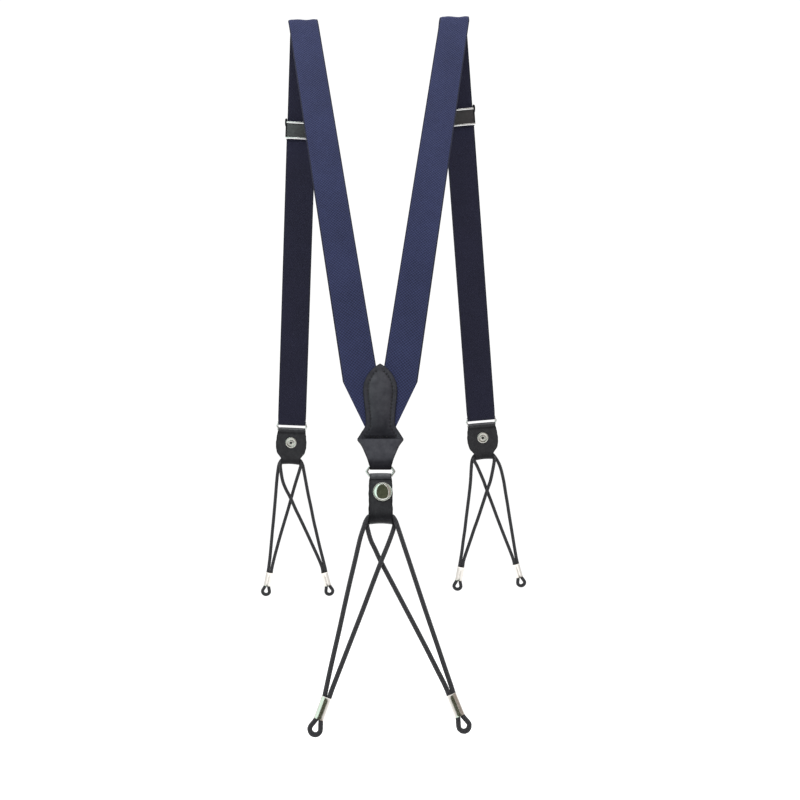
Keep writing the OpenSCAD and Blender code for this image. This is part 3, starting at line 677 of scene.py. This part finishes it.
def make_cord_piece(cord):
    """One length of cord: out of the tab's fold, down to the ferrule, round the button bight, back up."""
    end, (at_x, at_z, _), route = CORDS[cord]
    in_end = np.array(moved(END[end]).inverted() @ ferrule_frame(cord))
    side = math.copysign(1, (route[-1][0] - at_x))
    bight = np.array(button_bight(side)) @ in_end[:3, :3].T + in_end[:3, 3] / MM
    down, up = route[FOLD_POINT:], route[:FOLD_POINT + 1]
    line = spline([*down, *bight.tolist(), *up], 0.6)
    length = lengths(line)
    sides = 24
    angle = around(sides)
    turn = 2 * np.pi * length[:, None] / BRAID_TURN
    bundle = np.maximum(np.sin(4 * (angle + turn)), np.sin(4 * (angle - turn)))
    shade = (bundle + 0.7) / 1.7
    rings = tube(line, CORD_D / 2 - 0.04 + 0.09 * shade, sides)
    obj = loft(f"{cord}_braided_cord", place(rings, END[end]), cord_mat, sharp=80)
    give(obj, "braid", stack(CORD_D / 2 * angle, length[:, None], shade).reshape(-1, 3))
    path = place(line, END[end])
    blend(obj, END[end], (0, CORD_Y, -39.5), (at_x, CORD_Y, at_z + 4))
    finish_piece(obj, None, "cord", f"{cord}_cord", f"{cord}_button_loop")
    sleeve = make_ferrule(cord)


def make_ferrule(cord):
    """A drawn oval sleeve with rolled mouths and a hollow bore, crimped along the wearer's side."""
    a = around(56)
    heights = [0, 0.12, 0.4, 0.9, 1.6, 2.6, 4.4, 6.5, 8.6, 10.4, 11.4, 12.1, 12.6, 12.88, 13]

    def ring(z, inset):
        pinch = math.exp(-((z - FERRULE_L / 2) / 5.4) ** 6)
        mouth = 0.2 * math.exp(-min(z, FERRULE_L - z) / 0.45)
        x = (3.15 - inset + mouth * 0.5) * np.cos(a)
        dip = 0.7 * pinch * np.exp(-(x / 0.6) ** 2) * (np.sin(a) > 0)
        y = (2.05 - inset + mouth - dip) * np.sign(np.sin(a)) * np.abs(np.sin(a)) ** 0.8
        return stack(x, y, -z)

    outer = [ring(z, 0.0) for z in heights]
    inner = [ring(z, 0.34) for z in reversed(heights)]
    obj = loft(f"{cord}_crimped_ferrule", place([*outer, *inner], ferrule_frame(cord)), ferrule_mat,
               closed=True, sharp=50)
    return finish_piece(obj, f"{cord}_cord_end", "ferrule", f"{cord}_ferrule")


# ---- Webbing ----

RUN_END = 12.0  # how far above its ring a front strap's outer run meets the turn round the ring
# How far the fold over each shoulder stands above a straight one, from its -X edge to its +X edge
FOLD_LIFT = {
    "left": [(-1, -7.4), (-0.8, -6.2), (-0.35, -5.6), (0.25, -6.8), (0.75, -5.2), (1, -5.7)],
    "right": [(-1, -2.4), (-0.8, -1.5), (-0.4, -0.9), (0.3, -1.9), (0.8, -0.8), (1, -1.0)],
}


def shoulder_rows(side):
    """Left and right edge points [x, u] of each row, from the yoke over the shoulder to the front."""
    def pair(x, u, turn):
        across = WEBBING_W / 2 * math.cos(math.radians(turn))
        along = WEBBING_W / 2 * math.sin(math.radians(turn))
        return [(x - across, u + along), (x + across, u - along)]

    def between(a, b, count, last=False):
        return [np.array(a) + (np.array(b) - a) * s for s in np.linspace(0, 1, count, endpoint=last)]

    foot = np.array([(0.3, -362.0), (9.3, -362.0)])
    mitre = np.array([(0.3, -331.0), (26.1, -326.5)])
    top = np.array(pair(SHOULDER_X, 0, REAR_TURN))
    turn = FRONT_TURN[side]
    bend = [np.array(pair(SHOULDER_X, s * BEND_LEN, REAR_TURN + s * (turn - REAR_TURN)))
            for s in np.linspace(0, 1, 36)]
    out = SHOULDER_FRONT_T * math.tan(math.radians(turn))
    low = np.array(pair(SHOULDER_X + out, BEND_LEN + SHOULDER_FRONT_T, turn))
    return np.array([*between(foot, mitre, 20), *between(mitre, top, 170), *bend,
                     *between(bend[-1], low, 14, True)[1:]])


def selvedge_groove(inset):
    """How deep the line beside the selvedge is, at each distance in from the strap's edge."""
    return 0.1 * np.exp(-((inset - 1.35) / 0.3) ** 2)


def make_shoulder_webbing(side):
    """The strap from the yoke up the back, over the shoulder's wavy fold and 28 mm down the front."""
    rows = shoulder_rows(side)
    across = columns_at(32)
    share = (across + 1) / 2
    chart = rows[:, None, 0] + (rows[:, None, 1] - rows[:, None, 0]) * share[None, :, None]
    x, u = chart[..., 0], chart[..., 1]
    width = np.linalg.norm(rows[:, 1] - rows[:, 0], axis=1)[:, None] / 2
    inset = width * (1 - np.abs(across))
    inset = np.minimum(inset, u - u.min())
    drop = 0.3 * np.clip(1 - inset / 0.5, 0, 1) ** 2
    groove = selvedge_groove(inset)
    free = np.clip((-u - 10) / 40, 0, 1) * np.clip((u + 300) / 60, 0, 1)
    ripple = free * (0.28 * np.sin(u / 31.0 + SIDES[side]) + 0.22 * across * np.sin(u / 47.0))
    lift = smooth(across * SIDES[side], FOLD_LIFT[side]) * np.exp(-((u - BEND_LEN / 2) / 9.0) ** 2)
    faces = []
    for n in (WEBBING_T / 2 - drop - groove + ripple, drop + groove - WEBBING_T / 2 + ripple):
        p = on_strap(x, u, n)
        p[..., 2] += lift * MM
        p[..., 0] *= SIDES[side]
        faces.append(p)
    turn = math.radians(REAR_TURN)
    off = x - SHOULDER_X
    weave_x = np.where(u < 0, off * math.cos(turn) - u * math.sin(turn), width * across)
    weave_y = np.where(u < 0, off * math.sin(turn) + u * math.cos(turn), u)
    obj = slab(f"{side}_back_strap", *faces, webbing_mat,
               weave=(stack(weave_x, weave_y, 1.0), stack(weave_x, weave_y, 0.0)))
    length = float(lengths(rows.mean(1))[-1])
    finish_piece(obj, "root", "webbing", f"{side}_shoulder_webbing")


def full_width(y, z, along):
    return np.full_like(along, WEBBING_W / 2)


def selvedge_relief(along, x, inset, z):
    return -selvedge_groove(inset)


def make_front_webbing(side):
    """The outer run down the front, from below the shoulder to just above the ring."""
    ring_t = RING_T[f"front_{side}"]
    t = np.linspace(SHOULDER_FRONT_T, ring_t - RUN_END, 150)
    wander = 0.08 * np.sin(t / 41.0) * np.clip((t - SHOULDER_FRONT_T) / 40, 0, 1)
    wander *= np.clip((ring_t - 40 - t) / 60, 0, 1)
    path = stack(wander, -t)
    obj = strip(f"{side}_front_strap", path, full_width, WEBBING_T, webbing_mat, LEG[side], -1,
                relief=selvedge_relief, free=(False, False), along_start=BEND_LEN + SHOULDER_FRONT_T)
    blend(obj, LEG[side], (0, 0, -SHOULDER_FRONT_T - 6), (0, 0, 16 - ring_t))
    finish_piece(obj, None, "webbing", f"{side}_front_webbing")


def make_return_webbing(side):
    """The strap's turn round the ring's upper bar and its inner run back up into the adjuster."""
    run = RING_T[f"front_{side}"] - ADJUSTER_T[side]
    top_y = 1.2 + WEBBING_T / 2 - BIGHT_Y
    down = stack(-BIGHT_Y, np.linspace(RUN_END, 0.6, 14))
    up_z = np.linspace(0.6, run + 3, 130)
    up = stack(np.interp(up_z, [RUN_END, run + 3], [BIGHT_Y, top_y]), up_z)
    path = np.vstack([down, arc((0, 0), BIGHT_Y, 180, 360, 16), up])

    def width(y, z, along):
        return WEBBING_W / 2 - 0.25 * np.exp(-(z / 3.0) ** 2)

    end = f"front_{side}"
    good = np.clip(0.5 - path[:, 0] / BIGHT_Y * 2, 0, 1)
    obj = strip(f"{side}_return_strap", path, width, WEBBING_T, webbing_mat, END[end], -1,
                relief=selvedge_relief, free=(False, True),
                along_start=BEND_LEN + RING_T[end] - RUN_END, faced=good)
    blend(obj, END[end], (0, 0, 14), (0, 0, run - 14))
    finish_piece(obj, None, "webbing", f"{side}_return_webbing", f"{side}_webbing_bight")
    length = float(lengths(path)[-1])


# ---- Yoke ----

YOKE_L = 73.4
SEAM_D = 54.9
POINT_X = 15.75
LEAF_EDGE = [(0, 0), (1.7, 1.1), (4.6, 3.4), (8.5, 8.2), (11.1, 13.9), (11.8, 20), (11.2, 28), (10, 40),
             (10.2, 45.6)]
NECK_EDGE = [(POINT_X, SEAM_D), (13, 58.6), (10.9, 63.1), (8.9, 68), (7.7, 72), (7.1, YOKE_L)]
YOKE_EDGE = np.vstack([spline(LEAF_EDGE, 0.4), spline(NECK_EDGE, 0.4)])  # half width, distance below the tip
STITCH_INSET = 3.3
STITCH_PITCH = 2.6
THREAD_R = 0.48
STITCH_HALF = 0.62  # half the length of thread that shows in a stitch


def yoke_half(below_tip):
    return np.maximum(np.interp(below_tip, YOKE_EDGE[:, 1], YOKE_EDGE[:, 0]), 0.05)


def stitch_line():
    """One half of the stitch line, [x, distance below the tip], from the tip round to the seam."""
    d = np.linspace(STITCH_INSET + 1.9, 46.5, 60)
    x = yoke_half(d)
    slope = np.gradient(x, d)
    inward = np.minimum(STITCH_INSET * np.sqrt(1 + slope**2), x - 0.3)
    side = stack(x - inward, d)
    tail = [(7.4, 47.5), (9.4, 50.6), (11.2, 53.1), (8.4, 53.3), (5.6, 53.3), (2.8, 53.3), (0.4, 53.3)]
    return even(np.vstack([side, tail]), 0.25)


STITCHES = stitch_line()
STITCH_ENDS = even(STITCHES, STITCH_PITCH / 2)


def yoke_rows(first, last):
    """Distances below the tip, closer together where the outline turns quickly."""
    near = [0.02, 0.1, 0.25, 0.45, 0.7, 1.0, 1.4, 1.9, 2.4, 3.0]
    rest = np.arange(3.5, last, 0.55).tolist()
    sharp = [45.6, 45.9, SEAM_D - 0.5, SEAM_D - 0.2, SEAM_D - 0.02, SEAM_D + 0.06, SEAM_D + 0.3]
    rows = sorted({round(d, 3) for d in near + rest + sharp if first <= d < last})
    return np.array([*rows, last])


def nearest(x, below_tip, marks):
    """The distance of each place on the leaf from the nearest of the marks on its edge."""
    points = stack(np.abs(x), below_tip).reshape(-1, 1, 2)
    found = [np.linalg.norm(points[i:i + 4000] - marks, axis=2).min(1)
             for i in range(0, len(points), 4000)]
    return np.concatenate(found).reshape(x.shape)


def yoke_relief(along, x, inset, z):
    """A padded leaf inside its stitches, a dip above the seam, and the neck's raised upper edge."""
    below = YOKE_L - z
    on_front = along < YOKE_L
    seam = nearest(x, below, STITCHES)
    hole = nearest(x, below, STITCH_ENDS[1::2])
    inside = np.clip((yoke_half(below) - STITCH_INSET - np.abs(x)) / 6.5, 0, 1)
    pad = 0.75 * np.sin(inside * np.pi / 2) * smooth(below, [(3, 0), (13, 1), (36, 0.9), (52, 0.0)])
    groove = 0.04 * np.exp(-(seam / 0.7) ** 2) + 0.4 * np.exp(-(hole / 0.6) ** 2)
    dip = 0.75 * smooth(below, [(38, 0), (SEAM_D - 3, 0.75), (SEAM_D - 0.1, 1)])
    leaf = pad - groove - dip * (np.abs(x) < 12)
    neck = 0.42 * smooth(below, [(SEAM_D, 1), (64, 0.25), (70, 0)]) * np.clip(inset / 1.2, 0, 1)
    neck = neck - 0.12 * np.exp(-((inset - 1.3) / 0.35) ** 2)
    return np.where(on_front, np.where(below < SEAM_D, leaf, neck), 0.0)


def yoke_worn(x, y, z):
    """Painted highlight on the leaf's crown and the neck, painted shade above the seam, in the stitch holes
    and round the ring's bar.
    """
    below = YOKE_L - z
    middle = np.clip((yoke_half(below) - STITCH_INSET - np.abs(x)) / 3, 0, 1)
    leaf = middle * smooth(below, [(4, 0.1), (12, 0.5), (26, 0.3), (38, 0.1), (50, -0.6), (SEAM_D, -0.8)])
    leaf -= 0.9 * np.exp(-(nearest(x, below, STITCH_ENDS[1::2]) / 0.55) ** 2)
    neck = smooth(below, [(SEAM_D, 0.8), (63, 0.85), (67, 0.6), (71.5, -0.6), (YOKE_L, -0.8)])
    return np.where(below < SEAM_D, leaf, neck)


def make_yoke():
    """The leather leaf over the straps, folded round the rear ring's upper bar, and its backing."""
    front_rows = YOKE_L - yoke_rows(0, YOKE_L)
    front = stack(-LEAF_MID, front_rows)
    turn = arc((0, 0), LEAF_MID, 180, 360, 14)[1:]
    back = stack(LEAF_MID, np.linspace(0.5, YOKE_L - SEAM_D, 36))

    def half(y, z, along):
        return yoke_half(np.clip(YOKE_L - z, 0, YOKE_L))

    cover = strip("yoke_leather_front", np.vstack([front, turn, back]), half, LEATHER_T, leather_mat,
                  END["rear"], -1, columns=44, relief=yoke_relief, free=(False, True), worn=yoke_worn)
    finish_piece(cover, "root", "leather", "yoke_front")
    rows = YOKE_L - yoke_rows(0, SEAM_D - 0.15)
    backing = strip("yoke_leather_back", stack(LEAF_MID, rows), half, LEATHER_T, leather_mat,
                    END["rear"], 1, columns=34, free=(False, True), worn=yoke_worn)
    finish_piece(backing, "root", "leather", "yoke_back")


def make_stitching():
    """Each stitch is a short twisted thread that dips into the leather at both ends."""
    rows, sides = 9, 8
    s = np.linspace(-1, 1, rows)
    rings, faces, braid = [], [], []
    for side in (-1, 1):
        for a, b in zip(STITCH_ENDS[::2], STITCH_ENDS[2::2]):
            mid, run = (a + b) / 2, (b - a) / np.linalg.norm(b - a)
            x, below = mid[0], np.full((1, 1), mid[1])
            height = float(yoke_relief(below, np.array([[x]]), np.array([[9.0]]), YOKE_L - below)[0, 0])
            y = -LEAF_MID - LEATHER_T / 2 - height - 0.16 * (1 - s**4) + 0.1
            step = STITCH_HALF * s
            centre = stack(side * (x + run[0] * step), y, YOKE_L - mid[1] - run[1] * step)
            thick = THREAD_R * np.sqrt(np.clip(1 - (s * 0.93) ** 6, 0.05, 1))
            first = rows * sides * len(rings)
            last = first + (rows - 1) * sides
            faces += grid(rows, sides, first, closed=True)
            faces += [tuple(range(first, first + sides))[::-1], tuple(range(last, last + sides))]
            rings.append(tube(centre, np.repeat(thick[:, None], sides, axis=1), sides))
            braid.append(stack(THREAD_R * around(sides), s[:, None], 0.0))
    points = place(np.array(rings).reshape(-1, 3), END["rear"])
    obj = link("yoke_thread", points, faces, thread_mat, sharp=60)
    give(obj, "braid", np.array(braid).reshape(-1, 3))
    finish_piece(obj, "root", "thread", "yoke_stitching")


# ---- Tabs ----

TAB_HALF = {
    "rear": [(-39, 8.0), (-30, 8.0), (-22, 7.9), (-16, 7.95), (-11, 7.75), (-8.6, 7.3), (-7, 7.1),
             (-5, 7.1)],
    "front": [(-39, 8.5), (-34.2, 8.5), (-32.6, 8.9), (-30.4, 10.5), (-28, 12.3), (-25.4, 13.3),
              (-22, 13.75), (-17, 13.7), (-12, 13.2), (-9.4, 12.6), (-7.6, 12.2), (-5, 12.2)],
}
BAR_Z = -RING_PITCH
FOLD_LOW_Z = -38.2
FOLD_R = 1.35
FLAP_TOP_Z, FLAP_TOP_R = -10.3, 1.6
TURNED_LOW_Z = -25.0
TURNED_Y = 0.25


def uneven(z):
    """The small unevenness of a hand-cut edge."""
    return 0.07 * np.sin(z * 1.3) + 0.09 * np.sin(z * 0.62 + 1)


def tab_half(end, less=0.0):
    table = spline(TAB_HALF["rear" if end == "rear" else "front"], 0.3)

    def half(y, z, along):
        return np.interp(z, table[:, 0], table[:, 1]) - less + uneven(z)
    return half


def pressed_edge(along, x, inset, z):
    """A creased line inside the edge and a slight swell in the middle."""
    return 0.12 * np.clip(inset / 5, 0, 1) - 0.14 * np.exp(-((inset - 1.25) / 0.32) ** 2)


def tab_worn(x, y, z):
    """Painted highlight over the ring's bar, painted shade in the step below it and towards the fold."""
    step = smooth(z, [(-14, 0), (-11.5, -0.9), (-9.6, -0.8), (-8.4, 1.2), (-6.5, 2.6)])
    panel = smooth(z, [(-37, -0.4), (-30, 0.0), (-11, 0.05), (-9, -0.5), (-7.4, 0.4)])
    return np.where(y < LEAF_MID - 0.05, step, panel)


def flap_worn(x, y, z):
    """Painted shade towards the fold, a painted highlight along the top edge, and a little lighter towards
    +X.
    """
    table = [(-38.5, -0.1), (-35, -0.7), (-29, 0.0), (-13, 0.1), (-11, 0.4), (-10.4, 1.6)]
    return smooth(z, table) + 0.012 * x


def fold_arch(across, z):
    """The lower fold is pulled up a little between the cords."""
    return 0.9 * (1 - across**2) * np.clip((-33 - z) / 4, 0, 1)


def make_tab(end):
    """The tab's leather: turned-over end, eye on the ring's lower bar, inner panel, lower fold."""
    turned_end = stack(TURNED_Y, np.linspace(TURNED_LOW_Z, -11.9, 24))
    slant = even(np.array([(TURNED_Y, -11.6), (-LEAF_MID + 0.1, -8.7), (-LEAF_MID, -7.2)]), 0.5)
    eye = arc((0, BAR_Z), LEAF_MID, 180, 0, 14)
    panel = stack(LEAF_MID, np.linspace(BAR_Z - 0.5, FOLD_LOW_Z + FOLD_R + 0.4, 52))
    corner = arc((LEAF_MID - FOLD_R, FOLD_LOW_Z + FOLD_R), FOLD_R, 0, -90, 7)
    under = [(y, FOLD_LOW_Z) for y in (-0.3, -0.9)]
    obj = strip(f"{end}_tab_leather", np.vstack([turned_end, slant, eye, panel, corner, under]),
                tab_half(end), LEATHER_T, tab_leather_mat, END[end], 1, columns=34, relief=pressed_edge,
                free=(True, False), arch=fold_arch, worn=tab_worn)
    finish_piece(obj, f"{end}_tab", "leather", f"{end}_tab")


def make_flap(end):
    """The outer leather: up from the lower fold, closed by the snap, free along its rounded top edge."""
    under = [(y, FOLD_LOW_Z) for y in (-0.85, -1.6, -2.3)]
    corner = arc((FLAP_MID_Y + FOLD_R, FOLD_LOW_Z + FOLD_R), FOLD_R, 270, 180, 7)[1:]
    rise = np.linspace(FOLD_LOW_Z + FOLD_R + 0.5, FLAP_TOP_Z - FLAP_TOP_R - 0.1, 46)
    tip = FLAP_TOP_Z - FLAP_TOP_R * (1 - np.sin(np.linspace(0, 1, 8) * np.pi / 2))
    up = np.concatenate([rise, tip])
    path = np.vstack([under, corner, stack(FLAP_MID_Y, up)])
    side = tab_half(end, 0.35)

    def half(y, z, along):
        near_top = np.clip((z - FLAP_TOP_Z) / FLAP_TOP_R + 1, 0, 1)
        return side(y, z, along) - FLAP_TOP_R * (1 - np.sqrt(1 - near_top**2 + 1e-9))

    obj = strip(f"{end}_flap_leather", path, half, LEATHER_T, tab_leather_mat, END[end], 1, columns=34,
                relief=pressed_edge, free=(False, True), arch=fold_arch, worn=flap_worn)
    blend(obj, END[end], (0, FLAP_MID_Y, -34.4), (0, FLAP_MID_Y, -30.0))
    finish_piece(obj, None, "leather", f"{end}_flap")


# ---- Metal ----

RAIL_IN_X = 12.65
EAR_X, EAR_Y, EAR_Z = 12.7, 1.6, 7.0
EAR_PROFILE = [(0.05, 0.0), (3.3, 0.0), (3.4, 0.3), (3.3, 1.1), (2.9, 1.5), (0.05, 1.6)]
CAP_PROFILE = [
    *[(5.5 * math.sin(a), 0.78 + 0.98 * math.cos(a)) for a in np.linspace(0.02, 1.42, 18)],
    (5.5, 0.66), (5.62, 0.62), (5.76, 0.74), (5.92, 0.9), (6.08, 0.88), (6.2, 0.68), (6.25, 0.42),
    (6.18, 0.18), (5.95, 0.02), (5.5, 0.0), (1.2, 0.0), (1.2, -1.25), (0.1, -1.3)]
WASHER_PROFILE = [
    (1.15, 0.0), (1.1, -0.55), (1.25, -0.72), (1.6, -0.78), (2.2, -0.74), (2.55, -0.6), (2.75, -0.42),
    (3.45, -0.42), (3.65, -0.58), (3.95, -0.7), (4.4, -0.7), (4.8, -0.55), (5.0, -0.28), (5.0, 0.0)]
SOCKET_PROFILE = [(1.3, 0), (4.3, 0), (4.6, -0.25), (4.6, -1.0), (4.2, -1.35), (3.3, -1.5), (2.9, -1.95),
                  (2.5, -1.95), (2.3, -1.7), (2.3, -0.95), (1.3, -0.9)]
STUD_PROFILE = [(0.05, 1.6), (1.3, 1.6), (1.8, 1.42), (2.0, 1.1), (1.8, 0.7), (1.85, 0.5), (3.6, 0.45),
                (4.05, 0.34), (4.2, 0.1), (4.2, 0), (0.05, 0)]


def make_snap(end):
    """The snap's four pieces: domed cap and its socket on the flap, stud and washer on the tab."""
    for name, profile, y, mat, sharp, part, slot, node in (
            ("domed_cap", CAP_PROFILE, FLAP_FACE_Y, chrome_mat, 60, "flap", "snap_chrome", "cap"),
            ("snap_socket_metal", SOCKET_PROFILE, FLAP_MID_Y + LEATHER_T / 2 + 0.02, nickel_mat, 40,
             "flap", "snap_nickel", "socket"),
            ("snap_stud_metal", STUD_PROFILE, TURNED_Y - LEATHER_T / 2, nickel_mat, 40,
             "tab", "snap_nickel", "stud"),
            ("snap_washer", WASHER_PROFILE, LEAF_MID + LEATHER_T / 2, nickel_mat, 40,
             "tab", "snap_nickel", "post")):
        obj = turned(f"{end}_{name}", profile, moved(END[end], SNAP_X[end], y, SNAP_Z), mat, sharp=sharp)
        finish_piece(obj, f"{end}_{part}", slot, f"{end}_snap_{node}")


def make_ring(end):
    """A wire ring with straight bars and ends bent out to a blunt point."""
    half = RING_W[end] / 2 - WIRE_R
    bow = 2.3 if end == "rear" else 1.5
    mid = -RING_PITCH / 2
    bar = half - bow
    bend = [(bar - 0.6, 0), (bar + 0.2, -0.3), (half - 0.3 * bow, mid + 1.15), (half, mid)]
    right = [*bend, *((x, 2 * mid - z) for x, z in reversed(bend[:-1]))]
    loop = [*right, *((-x, z) for x, z in reversed(right))]
    line = spline([(x, 0, z) for x, z in loop], 0.35, closed=True)
    obj = loft(f"{end}_wire_ring", place(tube(line, WIRE_R, 16, closed=True), END[end]), wire_mat,
               closed=True, sharp=80)
    finish_piece(obj, f"{end}_ring", "ring_wire", f"{end}_ring")


def blacken_rails(obj, side):
    """The frame's side rails are lacquered black, and the bars between them stay bright."""
    obj.data.materials.append(lacquer_mat)
    to_leg = LEG[side].inverted()
    for face in obj.data.polygons:
        face.material_index = int(abs((to_leg @ face.center).x) > RAIL_IN_X * MM)


def make_ears(side):
    """The black rounded ears on the outsides of the frame, at its upper bar."""
    for hand in (-1, 1):
        outwards = moved(LEG[side], hand * EAR_X, EAR_Y, EAR_Z - ADJUSTER_T[side])
        ear = turned(f"{side}_adjuster_ear_{(hand + 3) // 2}", EAR_PROFILE,
                     outwards @ Matrix.Rotation(math.pi / 2 * hand, 4, "Z"), lacquer_mat, steps=40)
        finish_piece(ear, f"{side}_adjuster", "black_plate")


def make_adjuster(side):
    """The slide: side frame with its two bars, gripping plate, pin and the lever that locks it."""
    body = f"{side}_adjuster"
    for part, mat, slot, width in (("frame", silver_mat, "adjuster_metal", 0.16),
                                   ("plate", plate_mat, "black_plate", 0.2),
                                   ("pin", silver_mat, "adjuster_metal", 0.2)):
        obj = bevelled(f"{side}_adjuster_{part}_metal", f"{side}_adjuster_{part}", mat, width)
        finish_piece(obj, body, slot)
        if part == "frame":
            blacken_rails(obj, side)
    make_ears(side)
    lever = bevelled(f"{side}_adjuster_lever_metal", f"{side}_adjuster_lever", silver_mat, 0.22)
    finish_piece(lever, f"{side}_adjuster_lever", "adjuster_metal")


# ---- Light ----

FLAG_R = 0.9
FLAGS = {  # turn, rise, span and colour of each
    "green_flag": (-54, 34, (58, 84), (0.62, 0.78, 0.70)),
    "dark_flag": (0, 34, (46, 84), (0.055, 0.06, 0.04)),
    "grey_flag": (54, 34, (58, 84), (0.25, 0.22, 0.20)),
}
FLOOR_DROP = 0.45
FLOOR_R = 9.0


def area_light(name, location, aim, size, power, in_reflections=True):
    data = bpy.data.lights.new(name, "AREA")
    data.shape, data.size, data.size_y = "RECTANGLE", *size
    data.energy = power
    obj = into_scene(name, data)
    obj.visible_glossy = in_reflections
    obj.location = location
    obj.rotation_euler = (Vector(aim) - Vector(location)).to_track_quat("-Z", "Y").to_euler()


def flag(name, centre, turn, rise, span, colour):
    """A curved studio flag that only reflections see: a patch of a sphere about a point, towards the
    camera's side, centred turn degrees to +X of it and rise degrees up, and span degrees wide and high."""
    mat, _ = material(name, Base_Color=colour, Roughness=1.0, Specular_IOR_Level=0.0)
    turns = np.radians(np.linspace(turn - span[0] / 2, turn + span[0] / 2, 7))
    rises = np.radians(np.linspace(rise - span[1] / 2, rise + span[1] / 2, 9))[:, None]
    patch = stack(np.cos(rises) * np.sin(turns), -np.cos(rises) * np.cos(turns), np.sin(rises))
    obj = link(name, (np.array(centre) + FLAG_R * patch).reshape(-1, 3), grid(9, 7), mat)
    for ray in ("camera", "diffuse", "transmission", "volume_scatter", "shadow"):
        setattr(obj, f"visible_{ray}", False)


def make_world():
    """White all round, so that the floor and what is behind it merge."""
    world = bpy.data.worlds.new("studio")
    world.use_nodes = True
    background = world.node_tree.nodes["Background"]
    background.inputs["Color"].default_value = (1, 1, 1, 1)
    background.inputs["Strength"].default_value = 1.07
    bpy.context.scene.world = world


def make_floor():
    floor_mat, shader = material("pale_floor", Roughness=0.95, Specular_IOR_Level=0.1)
    mottle = noise(floor_mat, millimetres(floor_mat), 0.004)
    tint = blend_colour(floor_mat, mottle, (0.95, 0.95, 0.95), (0.98, 0.98, 0.98))
    connect(floor_mat, shader, tint)
    low = cad_box[0][2] - FLOOR_DROP
    a = around(64)
    disc = stack(FLOOR_R * np.cos(a), FLOOR_R * np.sin(a), low)
    link("floor", disc, [tuple(range(64))], floor_mat)


def make_stage():
    bpy.context.scene.view_settings.view_transform = "Standard"
    make_world()
    make_floor()
    area_light("overhead", (-0.1, -0.5, 0.55), (0, 0, -0.15), (0.9, 0.5), 5)
    area_light("overhead_fill", (-0.1, -0.5, 0.55), (0, 0, -0.15), (0.9, 0.5), 14, in_reflections=False)
    area_light("front_fill", (0.1, 0.8, 0.35), (0, 0, -0.2), (0.9, 0.7), 12, in_reflections=False)
    cap = moved(END["rear"], SNAP_X["rear"], FLAP_FACE_Y, SNAP_Z).translation
    for name, (turn, rise, span, colour) in FLAGS.items():
        flag(name, cap, turn, rise, span, colour)


# ---- The object ----

make_camera()
for cord_name in CORDS:
    make_cord_piece(cord_name)
for strap in SIDES:
    make_shoulder_webbing(strap)
    make_front_webbing(strap)
    make_return_webbing(strap)
    make_adjuster(strap)
make_yoke()
make_stitching()
for end_name in ENDS:
    make_ring(end_name)
    make_tab(end_name)
    make_flap(end_name)
    make_snap(end_name)
make_stage()
